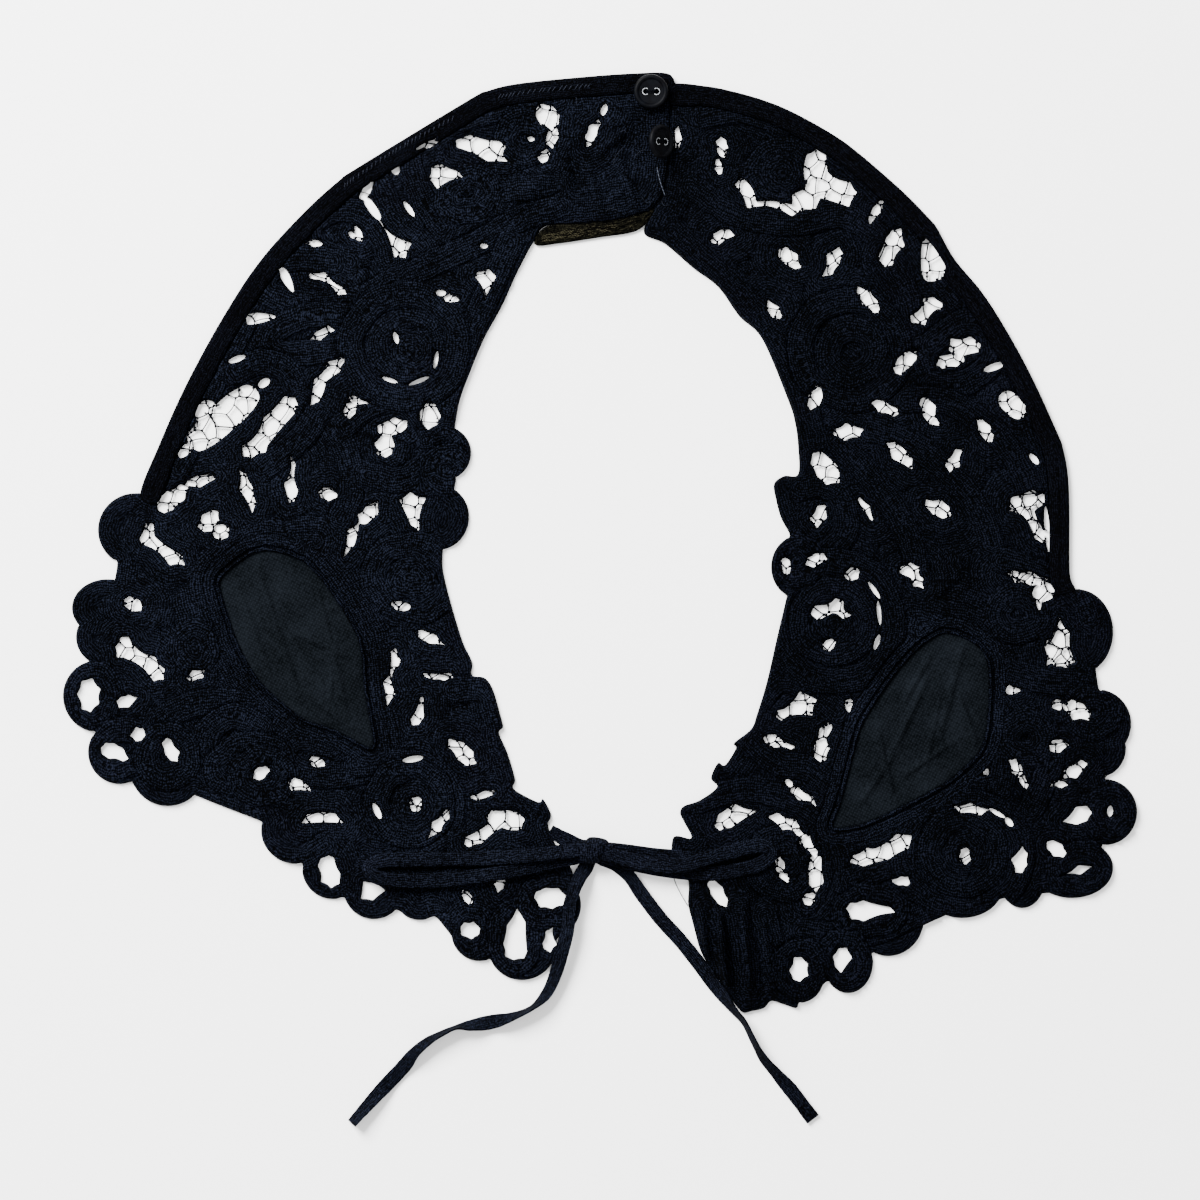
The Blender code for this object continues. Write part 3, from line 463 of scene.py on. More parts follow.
def nearestOn(points, line, closed, reach):
    # how far each point is from the line, and how far along the line its nearest place is
    away = np.full(len(points), 1e3)
    way = np.zeros(len(points))
    low, high = line.min(0) - reach, line.max(0) + reach
    near = np.flatnonzero(((points > low) & (points < high)).all(1))
    last = line[:1] if closed else 2 * line[-1:] - line[-2:-1]
    steps = np.vstack([line[1:], last]) - line
    lengths = np.maximum(np.hypot(*steps.T), 1e-9)
    travelled = np.concatenate([[0.0], np.cumsum(lengths)[:-1]])
    tangent = steps / lengths[:, None]
    for block in np.array_split(near, max(1, len(near) * len(line) // 4000000)):
        if len(block):
            gaps = points[block][:, None, :] - line[None, :, :]
            far = (gaps ** 2).sum(2)
            best = far.argmin(1)
            rows = np.arange(len(block))
            away[block] = np.sqrt(far[rows, best])
            way[block] = travelled[best] + (gaps[rows, best] * tangent[best]).sum(1)
    return away, way


def ridge(away, reach):
    # one soft rise, 1 high at its middle
    return np.exp(-(away / reach) ** 2)


def softHills(points, scale, seed):
    # soft hills and hollows between -1 and 1
    return np.array([noise.noise(Vector((x * scale, y * scale, seed))) for x, y in points])


def grown(loop, amount):
    # the outline moved outwards, or inwards where the amount is negative
    along = np.roll(loop, -1, 0) - np.roll(loop, 1, 0)
    normal = np.stack([along[:, 1], -along[:, 0]], 1)
    normal /= np.maximum(np.hypot(*normal.T), 1e-9)[:, None]
    return loop + normal * (amount if signedArea(loop) > 0 else -amount)


def rolledUnder(near, reach, tall):
    # the rounded underside of a lip, level again further in
    part = 1 - np.clip(near / reach, 0, 1)
    return tall * (1 - np.sqrt(1 - part ** 2))


def finishPiece(name, mesh, material, node=None):
    # smooth, in its material, on the part's one body, in place of its plain solid
    mesh.polygons.foreach_set("use_smooth", [True] * len(mesh.polygons))
    mesh.materials.append(material)
    item = bpy.data.objects.new(name, mesh)
    shown.link(item)
    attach(item, "root")
    if node:
        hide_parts(node)
    return item


cloth = {
    "spacing": 0.85,      # between points in the open cloth
    "clear": 0.5,         # clear of the cut edges, as a share of the spacing
    "edgeClear": 0.35,    # the same for points along a laid tape, in millimetres
    "square": 0.22,       # one point along a laid tape to each such square
    "reach": 14.0,        # how far from a cut edge its tape is felt
}
seamRows = (0.22, -0.12, -0.6, -1.1)  # where points lie beside a laid tape's edge


def clothPoints(loops, tapes, spacing):
    # an even grid within the cloth, drawn closer along the edges of the laid tapes
    border = np.vstack(loops)
    low, high = border.min(0), border.max(0)
    grid = np.array([(x, y) for i, y in enumerate(np.arange(low[1], high[1], spacing * 0.87))
                     for x in np.arange(low[0] + (i % 2) * spacing / 2, high[0], spacing)])
    grid = grid[insideCloth(grid, loops)]
    grid = grid[rimDistance(grid, loops) > cloth["clear"] * spacing]
    extra = np.zeros((0, 2))
    half = lace["half"]
    for line, closed in tapes:
        far = nearestOn(grid, line, closed, half + 1.0)[0]
        grid = grid[(far < half - 1.5) | (far > half + 0.6)]
        far = nearestOn(extra, line, closed, half)[0]
        extra = extra[far > half - 0.2]
        ahead = np.roll(line, -1, 0) - np.roll(line, 1, 0)
        if not closed:
            ahead[[0, -1]] = ahead[[1, -2]]
        normal = np.stack([-ahead[:, 1], ahead[:, 0]], 1) / np.hypot(*ahead.T)[:, None]
        for row in seamRows:
            for sign in (-1, 1):
                spots = (line + sign * normal * (half + row))[::2]
                far = nearestOn(spots, line, closed, half + 1.0)[0]
                extra = np.vstack([extra, spots[far > half + row - 0.1]])
    if len(extra):
        extra = extra[insideCloth(extra, loops)]
        extra = extra[rimDistance(extra, loops) > cloth["edgeClear"]]
        squares = np.round(extra / cloth["square"]).astype(int)
        _, chosen = np.unique(squares, axis=0, return_index=True)
        extra = extra[np.sort(chosen)]
    return np.vstack([border, grid, extra])


def clothFaces(loops, points):
    # triangles over the cloth, none of them across a gap
    edges = []
    first = 0
    for loop in loops:
        edges += [(first + i, first + (i + 1) % len(loop)) for i in range(len(loop))]
        first += len(loop)
    found, _, faces, origins, _, _ = delaunay_2d_cdt([Vector(p) for p in points], edges, [], 0,
                                                     1e-4)
    spots = np.array([tuple(p) for p in found])
    faces = np.array([face for face in faces if len(face) == 3])
    onRim = np.array([min(origin) < first if origin else True for origin in origins])
    doubtful = onRim[faces].all(1)
    keep = ~doubtful
    sure = insideCloth(spots[faces[doubtful]].mean(1), loops)
    keep[np.flatnonzero(doubtful)[sure]] = True
    faces = faces[keep]
    used = np.unique(faces)
    renumber = np.full(len(spots), -1)
    renumber[used] = np.arange(len(used))
    return spots[used], renumber[faces]


def clothPiece(name, loops, tapes, shape, material, node=None, spacing=cloth["spacing"]):
    # loops are its cut edges and tapes the middles of the tapes laid on it, the upper ones
    # later; shape() gives its heights
    spots, faces = clothFaces(loops, clothPoints(loops, tapes, spacing))
    count = len(spots)
    nearLine = np.zeros(count, int)
    nextLine = np.full(count, -1)
    away = np.full((2, count), 1e3)
    way = np.zeros((2, count))
    for index, line in enumerate(loops):
        far, along = nearestOn(spots, line, True, cloth["reach"])
        first = far < away[0]
        second = ~first & (far < away[1])
        away[1][first], way[1][first] = away[0][first], way[0][first]
        nextLine[first] = nearLine[first]
        away[0][first], way[0][first], nearLine[first] = far[first], along[first], index
        away[1][second], way[1][second], nextLine[second] = far[second], along[second], index
    laid = np.full(count, -1)
    edgeIn = np.zeros(count)
    fields = []
    for index, (line, closed) in enumerate(tapes):
        far, along = nearestOn(spots, line, closed, lace["half"] + 4.0)
        fields.append((far, along))
        covered = far < lace["half"]
        laid[covered] = index
        edgeIn[covered] = lace["half"] - far[covered]
    top, bottom = shape(spots, nearLine, nextLine, away, laid, edgeIn)

    directed = {}  # each side of each triangle, in the order found
    for face in faces:
        for i in range(3):
            directed[(face[i], face[(i + 1) % 3])] = True
    rimEdges = [edge for edge in directed if (edge[1], edge[0]) not in directed]
    vertices = np.vstack([np.column_stack([spots, top]), np.column_stack([spots, bottom])]) * mm
    walls = [(b, a, a + count, b + count) for a, b in rimEdges]
    polygons = faces.tolist() + (faces[:, ::-1] + count).tolist() + walls
    mesh = bpy.data.meshes.new(name)
    mesh.from_pydata(vertices.tolist(), [], polygons)

    chief = nearLine[faces[:, 0]]
    corners = np.zeros((len(faces), 3, 2))
    for corner in range(3):
        vertex = faces[:, corner]
        other = nextLine[vertex] == chief
        pick = np.where((nearLine[vertex] != chief) & other, 1, 0)
        corners[:, corner, 0] = way[pick, vertex]
        corners[:, corner, 1] = away[pick, vertex]
    jump = corners[:, :, 0] - corners[:, :1, 0]
    spans = np.array([np.hypot(*(line - np.roll(line, 1, 0)).T).sum() for line in loops])
    corners[:, :, 0] -= np.round(jump / spans[chief][:, None]) * spans[chief][:, None]
    faceTape = laid[faces[:, 0]]
    for index, (line, closed) in enumerate(tapes):
        mine = np.flatnonzero(faceTape == index)
        far, along = fields[index]
        ways = along[faces[mine]]
        jump = ways - ways[:, :1]
        span = np.hypot(*(line - np.roll(line, 1, 0)).T).sum() if closed else 1e3
        ways -= np.round(jump / span) * span
        jump = ways - ways[:, :1]
        corners[mine, :, 0] = np.where(np.abs(jump) > 4.0, ways[:, :1], ways)
        corners[mine, :, 1] = far[faces[mine]] + 0.37 * index
    wallWays = np.array([[[way[0][b], 0], [way[0][a], 0], [way[0][a], 1], [way[0][b], 1]]
                         for a, b in rimEdges], float)
    flat = np.vstack([ways.reshape(-1, 2) for ways in (corners, corners[:, ::-1], wallWays)])
    layer = mesh.uv_layers.new(name="tapeWay")
    layer.data.foreach_set("uv", flat.ravel())
    mesh.validate()
    mesh.update()
    print(name, len(mesh.polygons), "faces")
    return finishPiece(name, mesh, material, node)


lace = {
    "rim": 0.55,          # height of a cut edge
    "crest": 1.75,        # height of a tape between its edges
    "shoulder": 1.0,      # how far in a tape reaches its full height
    "cord": 0.16,         # the cord woven into a tape's edge
    "half": 5.0,          # half the width of a laid tape
    "valley": 0.75,       # depth of the seam where two tapes meet
    "lap": 1.1,           # how much one tape lies over its neighbour
    "thickness": 1.9,
    "wobble": 0.28,       # unevenness of the gaps
    "ringWobble": 0.5,
    "step": 0.55,
    "twoTapes": (5.2, 1.6),          # from here, and by this much, there is room for two tapes
    "channel": (0.6, 0.5),           # depth and reach of the line along an edge tape's inside
    "ground": 0.25,                  # how much lower the cloth lies beyond it
    "crown": (0.16, 0.18),           # rounding of an edge tape and of a laid one
    "laidEdge": (1.0, 0.35),         # drop at a laid tape's edge and its reach
    "laidCord": (0.256, 1.1, 0.45),  # height, place and reach of its corded edge
    "levels": (0.15, 0.7),           # how high the laid tapes lie
    "hills": ((0.30, 0.05, 3.0), (0.16, 0.22, 9.0)),  # height, closeness and seed
}
cornerDrape = [(712, 962, 1.5, 9.0), (731, 994, 1.3, 6.0)]  # column, row, push, reach
slits = {  # openings too small for the solids: column, row, length, width, turn
    "left": [(390, 380, 16, 4, -18), (419, 381, 22, 4, 22), (436, 360, 18, 4, 80),
             (396, 338, 12, 5, -75), (237, 359, 18, 6, 20), (409, 209, 18, 5, -55),
             (377, 811, 17, 6, -65), (413, 759, 21, 6, 10), (604, 110, 12, 6, 70),
             (395, 168, 14, 9, -75), (264, 383, 13, 8, 35), (441, 293, 10, 6, 0),
             (484, 246, 8, 5, 0), (352, 235, 8, 5, -50), (531, 139, 7, 5, 0)],
    "right": [(994, 367, 22, 7, 20), (1047, 529, 46, 5, -86), (1034, 459, 13, 6, -50),
              (874, 590, 20, 4, -55), (879, 613, 24, 4, -85), (877, 642, 16, 5, 70),
              (1110, 811, 11, 6, 85), (986, 772, 9, 6, 90), (789, 783, 9, 6, -50),
              (798, 832, 11, 6, -40), (1009, 822, 11, 6, -50), (997, 813, 18, 4, -30)],
}
ringTapes = {  # tapes wound into rings: column, row, half length, half width, turn
    "left": [(405, 347, 53, 53, 0), (407, 347, 25, 25, 0), (412, 350, 8, 8, 0),
             (526, 138, 19, 17, 0), (412, 578, 38, 32, -20), (412, 578, 12, 8, 0),
             (195, 648, 12, 15, 0),
             (250, 765, 34, 19, 10), (410, 803, 33, 33, 0), (412, 803, 8, 8, 0),
             (468, 195, 22, 16, 20),
             (93, 697, 18, 24, 0), (120, 749, 24, 18, 15), (168, 757, 20, 22, 0),
             (263, 777, 22, 18, 0), (470, 931, 17, 19, 0), (516, 936, 15, 26, 0),
             (551, 903, 24, 15, 10), (447, 470, 14, 14, 0)],
    "right": [(782, 174, 24, 24, 0), (782, 173, 7, 7, 0), (850, 350, 50, 50, 0),
              (852, 352, 23, 23, 0),
              (834, 622, 60, 60, 0), (834, 622, 32, 32, 0), (833, 624, 8, 8, 0),
              (963, 854, 60, 52, 0), (963, 852, 33, 33, 0), (964, 852, 8, 8, 0),
              (783, 862, 27, 27, 0),
              (784, 862, 7, 7, 0), (1026, 738, 18, 18, 0), (1018, 614, 20, 18, 0),
              (870, 911, 26, 15, 5), (843, 961, 17, 19, 0), (800, 969, 16, 19, 0),
              (1108, 812, 17, 17, 0), (1082, 868, 22, 15, 0), (1092, 712, 18, 16, 0),
              (797, 562, 15, 15, 0)],
}
longTapes = {  # tapes laid in curves: column and row of their middles
    "left": [
        [(340, 195), (400, 152), (442, 127), (482, 114), (522, 106), (560, 100)],
        [(560, 188), (520, 189), (480, 194), (452, 212), (430, 245)],
        [(562, 206), (520, 220), (480, 242), (440, 261), (400, 279), (366, 297)],
        [(512, 240), (492, 285), (474, 325), (459, 365), (447, 400), (440, 428)],
        [(300, 235), (262, 290), (236, 340), (213, 385), (196, 430), (178, 470)],
        [(350, 262), (318, 250), (312, 226), (334, 211), (364, 216), (384, 240), (392, 262)],
        [(352, 300), (312, 304), (284, 300), (264, 288), (274, 266), (302, 258), (334, 262)],
        [(352, 318), (312, 316), (280, 328), (270, 343), (286, 354), (320, 352), (350, 346)],
        [(300, 400), (288, 372), (262, 362), (236, 372)],
        [(300, 400), (330, 425), (348, 455), (352, 490), (340, 520)],
        [(262, 470), (300, 440), (320, 410)],
        [(378, 180), (388, 205), (402, 226), (424, 246)],
        [(407, 150), (416, 182), (428, 208), (442, 228)],
        [(345, 425), (372, 405), (405, 402), (428, 430), (428, 462), (400, 480), (365, 474)],
        [(425, 440), (448, 433), (462, 450), (454, 474), (428, 484)],
        [(300, 700), (262, 706), (225, 702), (190, 706), (160, 722)],
        [(262, 728), (236, 716), (212, 728), (206, 752), (216, 778)],
        [(330, 745), (300, 738), (284, 752), (298, 770), (330, 776), (362, 772)],
        [(355, 765), (395, 762), (430, 768), (452, 792), (452, 822)],
        [(452, 690), (482, 690), (494, 712), (500, 745)],
        [(255, 812), (262, 840), (280, 857), (304, 858), (326, 845)],
    ],
    "right": [
        [(672, 232), (712, 268), (752, 308), (786, 358), (806, 408), (816, 445)],
        [(690, 186), (735, 214), (790, 224), (842, 216), (878, 236)],
        [(700, 118), (742, 112), (790, 128), (834, 152), (872, 182), (908, 222)],
        [(880, 250), (905, 290), (915, 330), (930, 372), (950, 410)],
        [(905, 232), (925, 262), (950, 292), (978, 322), (1004, 362), (1022, 404)],
        [(930, 345), (965, 322), (990, 332), (992, 362), (962, 384), (930, 384)],
        [(905, 400), (945, 402), (985, 424), (1012, 454), (1030, 492)],
        [(870, 430), (905, 442), (945, 470), (976, 506), (992, 545)],
        [(836, 440), (864, 470), (892, 505), (912, 545), (918, 580)],
        [(800, 488), (822, 486), (842, 500), (846, 530), (826, 552), (798, 556)],
        [(806, 560), (786, 574), (786, 598), (800, 618)],
        [(1000, 560), (1042, 574), (1076, 594), (1090, 620)],
        [(1010, 672), (1046, 682), (1080, 684), (1104, 694)],
        [(1000, 700), (1012, 724), (1006, 760), (1000, 790)],
        [(1042, 730), (1052, 756), (1042, 786), (1030, 810)],
        [(760, 700), (780, 680), (806, 688), (838, 712)],
        [(752, 742), (780, 764), (806, 768), (836, 790), (850, 818)],
        [(700, 800), (742, 790), (780, 796), (816, 812), (842, 846), (846, 884), (824, 922),
         (790, 938)],
        [(905, 800), (938, 822), (934, 860), (912, 890), (880, 888)],
        [(850, 880), (882, 868), (912, 866)],
        [(706, 905), (716, 945), (724, 985)],
        [(736, 905), (744, 945), (748, 985)],
        [(764, 915), (774, 950), (786, 985)],
        [(800, 930), (840, 936), (880, 930), (920, 912), (958, 900)],
    ],
}
creases = {  # soft folds: start, end, height, reach
    "left": [((380, 163), (560, 96), 0.9, 3.0), ((500, 215), (560, 165), 1.2, 3.0),
             ((330, 640), (300, 650), 0.3, 4.0), ((600, 150), (625, 205), 0.9, 2.4),
             ((385, 560), (425, 590), 0.8, 2.4), ((612, 120), (640, 150), 0.8, 2.2),
             ((585, 175), (640, 196), 0.8, 2.2), ((572, 205), (600, 180), 0.7, 2.0),
             ((440, 130), (470, 128), 0.8, 2.6), ((616, 152), (640, 218), 2.2, 1.6),
             ((588, 168), (606, 226), 1.7, 1.7), ((628, 130), (600, 152), 1.9, 1.6),
             ((560, 128), (590, 150), 1.5, 1.7), ((556, 172), (580, 214), 1.3, 1.8),
             ((636, 176), (612, 200), 1.8, 1.4), ((520, 222), (566, 206), 0.8, 2.0),
             ((445, 690), (480, 730), 0.7, 2.6),
             ((110, 608), (150, 622), 0.7, 2.6), ((285, 395), (330, 408), 0.7, 2.4),
             ((262, 330), (300, 336), 0.7, 2.4), ((392, 555), (432, 566), 0.8, 2.2)],
    "right": [((719, 915), (726, 992), 4.4, 1.8), ((742, 905), (750, 1000), 4.0, 1.9),
              ((700, 910), (708, 968), 3.0, 1.8), ((770, 975), (800, 1000), 2.2, 1.9),
              ((762, 925), (774, 985), 2.8, 1.8), ((735, 108), (800, 138), 1.2, 3.4),
              ((700, 118), (765, 122), 0.9, 2.6), ((690, 870), (760, 882), 1.3, 2.6),
              ((700, 888), (740, 902), 1.2, 2.2), ((800, 150), (850, 176), 0.9, 2.8),
              ((720, 762), (760, 778), 0.9, 2.4), ((1072, 700), (1104, 716), 0.8, 2.6),
              ((1070, 745), (1106, 752), 0.8, 2.4), ((1000, 600), (1030, 622), 0.8, 2.6)],
}


def creaseLift(points, rows):
    # each fold is highest at its middle and dies away at its ends
    lift = np.zeros(len(points))
    for start, end, tall, reach in rows:
        line = np.array([place(*start), place(*end)])
        span = line[1] - line[0]
        part = np.clip(((points - line[0]) @ span) / (span @ span), 0, 1)
        away = np.hypot(*(points - line[0] - part[:, None] * span).T)
        lift = np.maximum(lift, tall * ridge(away, reach)
                          * (0.35 + 0.65 * np.sin(math.pi * (0.1 + 0.8 * part))))
    return lift


def laceHalf(side):
    # gives the gaps between its tapes and the edge that goes round its leaf
    name = "lace_" + side
    loops = [smoothLine(loop, lace["step"], True) for loop in undersideLoops(name)]
    if side == "right":  # the front corner rests against the tie
        for column, row, push, reach in cornerDrape:
            away = np.hypot(*(loops[0] - place(column, row)).T)
            loops[0][:, 0] -= push * ridge(away, reach)
    leafMiddle = np.mean(undersideLoops("leaf_" + side)[0], 0, keepdims=True)
    framed = next(i for i, loop in enumerate(loops) if i and insideLoop(leafMiddle, loop)[0])
    loops = [loop if i in (0, framed)
             else tapeBound(wobbled(loop, lace["wobble"], i), i, lace["step"])
             for i, loop in enumerate(loops)]
    gaps = [loop for i, loop in enumerate(loops) if i not in (0, framed)]
    loops += [ovalLoop(*row, lace["step"]) for row in slits[side]]
    tapes = [(drawn(row, lace["step"]), False) for row in longTapes[side]]
    for i, (column, row, long, wide, turn) in enumerate(ringTapes[side]):
        ring = ovalLoop(column, row, 2 * long, 2 * wide, turn, lace["step"])
        tapes.append((wobbled(ring, lace["ringWobble"], i), True))
    draw = random.Random(7 if side == "left" else 11)
    levels = np.array([draw.uniform(-0.5, 0.5) for _ in loops])
    tapeLevels = np.array([draw.uniform(*lace["levels"]) for _ in tapes] + [0.0])

    def shape(points, nearLine, nextLine, away, laid, edgeIn):
        near, other = away
        joined = nearLine == framed
        between = np.clip(other - near, 0, 30)
        start, over = lace["twoTapes"]
        broad = np.clip((near - start) / over, 0, 1)
        height = np.full(len(points), lace["crest"])
        height -= lace["valley"] * ridge(between, 0.8) * broad
        mix = 0.5 * (1 - np.clip(between / 1.0, 0, 1))
        height += lace["lap"] * broad * (levels[nearLine] * (1 - mix) + levels[nextLine] * mix)
        width = np.where(joined, lace["half"], 2 * lace["half"])
        depth, reach = lace["channel"]
        height -= depth * ridge(near - width, reach)
        height -= lace["ground"] * np.clip((near - width) / 0.6, 0, 1)
        height += lace["crown"][0] * np.sin(math.pi * np.clip(near / width, 0, 1))
        lapped = lace["crest"] + lace["lap"] * (tapeLevels[laid] - lace["levels"][0])
        lapped += lace["crown"][1] * np.sin(0.5 * math.pi * np.clip(edgeIn / lace["half"], 0, 1))
        depth, reach = lace["laidEdge"]
        lapped -= depth * ridge(edgeIn, reach)
        tall, at, reach = lace["laidCord"]
        lapped += tall * ridge(edgeIn - at, reach)
        height = np.where(laid >= 0, lapped, height)
        shoulder = np.clip(near / lace["shoulder"], 0, 1)
        rise = np.where(joined, 1.0, np.sqrt(1 - (1 - shoulder) ** 2))
        height = lace["rim"] + (height - lace["rim"]) * rise
        height += lace["cord"] * ridge(near - 1.0, 0.4) * ~joined
        inner = np.clip(near / 2.0, 0, 1)
        for tall, close, seed in lace["hills"]:
            height += tall * softHills(points, close, seed) * inner
        height += creaseLift(points, creases[side]) * inner
        bottom = np.maximum(0, height - lace["thickness"] - 0.6)
        return height, np.where(near < 1e-6, 0.0, bottom)

    item = clothPiece(name + "_tape", loops, tapes, shape, laceTapes[side], name)
    return gaps, loops[framed]


halves = {side: laceHalf(side) for side in ("left", "right")}
print("lace halves laid")


net = {
    "cell": 5.3, "shift": 2.0,       # size of a mesh and its unevenness
    "shortest": 0.7, "longest": 12.0,
    "radius": 0.26, "sides": 5,
    "height": 1.0, "sag": 0.25,
    "overlap": 1.0,                  # how far a thread goes on under a tape
    "join": 0.5,
    "parts": 9,
}
openGaps = [  # gaps without threads, by column and row
    (89, 695), (127, 701), (114, 752), (138, 734), (171, 750), (261, 773), (550, 898),
    (516, 935), (470, 930), (550, 940), (373, 891), (870, 911), (842, 960), (799, 969),
    (329, 872), (552, 136), (718, 893), (1080, 815), (1021, 859), (1060, 848), (1077, 870),
    (901, 880),
]
tapeSideGaps = {  # gaps that the neck tape closes on one side: column, row, length, width, turn
    "left": [(223, 418, 88, 31, 41), (187, 449, 22, 11, 45), (207, 414, 28, 24, 80),
             (427, 145, 27, 9, 25), (367, 190, 23, 12, 60), (260, 318, 32, 16, 5)],
    "right": [(931, 259, 45, 30, 106), (1013, 405, 33, 21, -42), (1035, 524, 36, 14, -62),
              (1027, 504, 34, 20, 20), (1044, 592, 24, 19, 25), (1027, 578, 37, 12, -6),
              (889, 198, 36, 9, -45), (1061, 643, 47, 30, 96)],
}


def skinned(bm, rings, way=None, spot=None):
    # faces between neighbouring rings, and one over each end; spot places a corner on the cloth
    sides = len(rings[0])
    for i in range(len(rings) - 1):
        for k in range(sides):
            n = (k + 1) % sides
            face = bm.faces.new((rings[i][k], rings[i][n], rings[i + 1][n], rings[i + 1][k]))
            if spot:
                corners = ((i, k), (i, k + 1), (i + 1, k + 1), (i + 1, k))
                for loop, corner in zip(face.loops, corners):
                    loop[way].uv = spot(*corner)
    bm.faces.new(rings[0][::-1])
    bm.faces.new(rings[-1])


def tubeAlong(bm, line, radius, sides):
    # a round thread through 3D points (metres), ends closed
    rings = []
    for i, here in enumerate(line):
        along = (line[min(i + 1, len(line) - 1)] - line[max(i - 1, 0)]).normalized()
        flatSide = along.cross(Vector((0.0, 0.0, 1.0)))
        if flatSide.length < 1e-6:
            flatSide = Vector((1.0, 0.0, 0.0))
        flatSide.normalize()
        upSide = flatSide.cross(along)
        rings.append([bm.verts.new(here + radius * (math.cos(2 * math.pi * k / sides) * flatSide
                                                    + math.sin(2 * math.pi * k / sides) * upSide))
                      for k in range(sides)])
    skinned(bm, rings)


def threadJoin(bm, here, radius):
    # the little web where threads meet
    rings = [[bm.verts.new(here + Vector((radius * size * math.cos(k * math.pi / 3),
                                          radius * size * math.sin(k * math.pi / 3), lift * mm)))
              for k in range(6)] for size, lift in ((0.5, 0.22), (1.0, 0.0), (0.5, -0.22))]
    skinned(bm, rings)


def meshFrom(bm, name):
    bmesh.ops.recalc_face_normals(bm, faces=bm.faces)
    mesh = bpy.data.meshes.new(name)
    bm.to_mesh(mesh)
    bm.free()
    return mesh


def threadPiece(name, lines, sides, material):
    # round threads along 3D lines in millimetres, each with its radius
    bm = bmesh.new()
    for line, radius in lines:
        tubeAlong(bm, [Vector(p) * mm for p in line], radius * mm, sides)
    return finishPiece(name, meshFrom(bm, name), material)


def netThreads(side, gaps):
    # uneven meshes over each gap: threads run between the middles of neighbouring cells
    bm = bmesh.new()
    draw = random.Random(31 if side == "left" else 37)
    joins = set()
    parts = np.linspace(0, 1, net["parts"])
    arches = [math.sin(math.pi * part) for part in parts]
    sideLoops = [ovalLoop(*row, lace["step"]) for row in tapeSideGaps[side]]
    for loop in gaps + sideLoops:
        middle = loop.mean(0)
        if any(np.hypot(*(middle - place(*spot))) < 3.0 for spot in openGaps):
            continue
        low, high = loop.min(0) - 2 * net["cell"], loop.max(0) + 2 * net["cell"]
        seeds = []
        for i, y in enumerate(np.arange(low[1], high[1], net["cell"])):
            for x in np.arange(low[0] + (i % 2) * net["cell"] / 2, high[0], net["cell"]):
                seeds.append(Vector((x + draw.uniform(-net["shift"], net["shift"]),
                                     y + draw.uniform(-net["shift"], net["shift"]))))
        found, _, faces, _, _, _ = delaunay_2d_cdt(seeds, [], [], 0, 1e-4)
        centres = []
        for face in faces:
            a, b, c = (found[i] for i in face[:3])
            cross = 2 * ((b.x - a.x) * (c.y - a.y) - (b.y - a.y) * (c.x - a.x))
            bb, cc = (b - a).length_squared, (c - a).length_squared
            centres.append(np.array([a.x + ((c.y - a.y) * bb - (b.y - a.y) * cc) / cross,
                                     a.y + ((b.x - a.x) * cc - (c.x - a.x) * bb) / cross]))
        owners = {}
        for index, face in enumerate(faces):
            for i in range(3):
                owners.setdefault(frozenset((face[i], face[(i + 1) % 3])), []).append(index)
        pairs = [pair for pair in owners.values() if len(pair) == 2]
        for first, second in sorted(pairs):
            start, end = centres[first], centres[second]
            length = np.hypot(*(end - start))
            if not net["shortest"] < length < net["longest"]:
                continue
            steps = start + (end - start) * parts[:, None]
            within = insideLoop(steps, loop)
            if not within.any():
                continue
            bow = draw.uniform(-0.25, 0.25) * length / 4
            sideways = np.array([-(end - start)[1], (end - start)[0]]) / length
            keep = within | (nearestOn(steps, loop, True, 12.0)[0] < net["overlap"])
            line = [Vector((*(p + sideways * bow * arch), net["height"] - net["sag"] * arch)) * mm
                    for p, arch, ok in zip(steps, arches, keep) if ok]
            if len(line) > 2:
                tubeAlong(bm, line, net["radius"] * draw.uniform(0.7, 1.2) * mm, net["sides"])
                for at, ok in ((start, within[0]), (end, within[-1])):
                    if ok:
                        joins.add((round(float(at[0]), 2), round(float(at[1]), 2)))
                for index in np.flatnonzero(within[1:] != within[:-1]):
                    spot = steps[index + 1 if within[index + 1] else index]
                    joins.add(tuple(round(float(v), 2) for v in spot))
    for x, y in sorted(joins):
        size = net["join"] * draw.uniform(0.75, 1.3)
        threadJoin(bm, Vector((x, y, net["height"])) * mm, size * mm)
    name = "needle_net_" + side
    item = finishPiece(name, meshFrom(bm, name), darkThread)
    print(name, len(item.data.polygons), "faces")


for side in ("left", "right"):
    netThreads(side, halves[side][0])


frameTape = {  # places are measured from the tape's inner edge
    "lip": 0.6,
    "cords": ((0.55, 0.75, 0.42), (-1.3, 1.75, 0.42), (0.25, 2.55, 0.4)),  # height, place, reach
    "edgeDrop": (1.2, 0.45),
    "spacing": 0.42,
}
leafCloth = {"rim": 0.9, "height": 1.2, "least": 0.5, "spacing": 0.6}
wrinkles = {
    "left": [((258, 570), (300, 700), 1.2, 1.4), ((318, 590), (347, 715), 1.0, 1.3),
             ((243, 600), (268, 668), 0.9, 1.1), ((292, 632), (345, 655), 0.9, 1.1),
             ((275, 612), (325, 690), 0.8, 1.0), ((300, 690), (352, 728), 0.9, 1.0),
             ((285, 565), (330, 610), 0.7, 1.2), ((335, 640), (330, 700), 0.7, 0.9)],
    "right": [((962, 650), (938, 740), 1.0, 1.4), ((926, 680), (884, 770), 1.2, 1.3),
              ((900, 745), (862, 800), 1.0, 1.2), ((952, 742), (905, 775), 0.9, 1.0),
              ((878, 735), (892, 790), 1.3, 1.1), ((958, 695), (976, 742), 1.2, 1.0),
              ((905, 700), (930, 655), 0.7, 1.1), ((940, 700), (925, 770), 0.7, 1.0)],
}


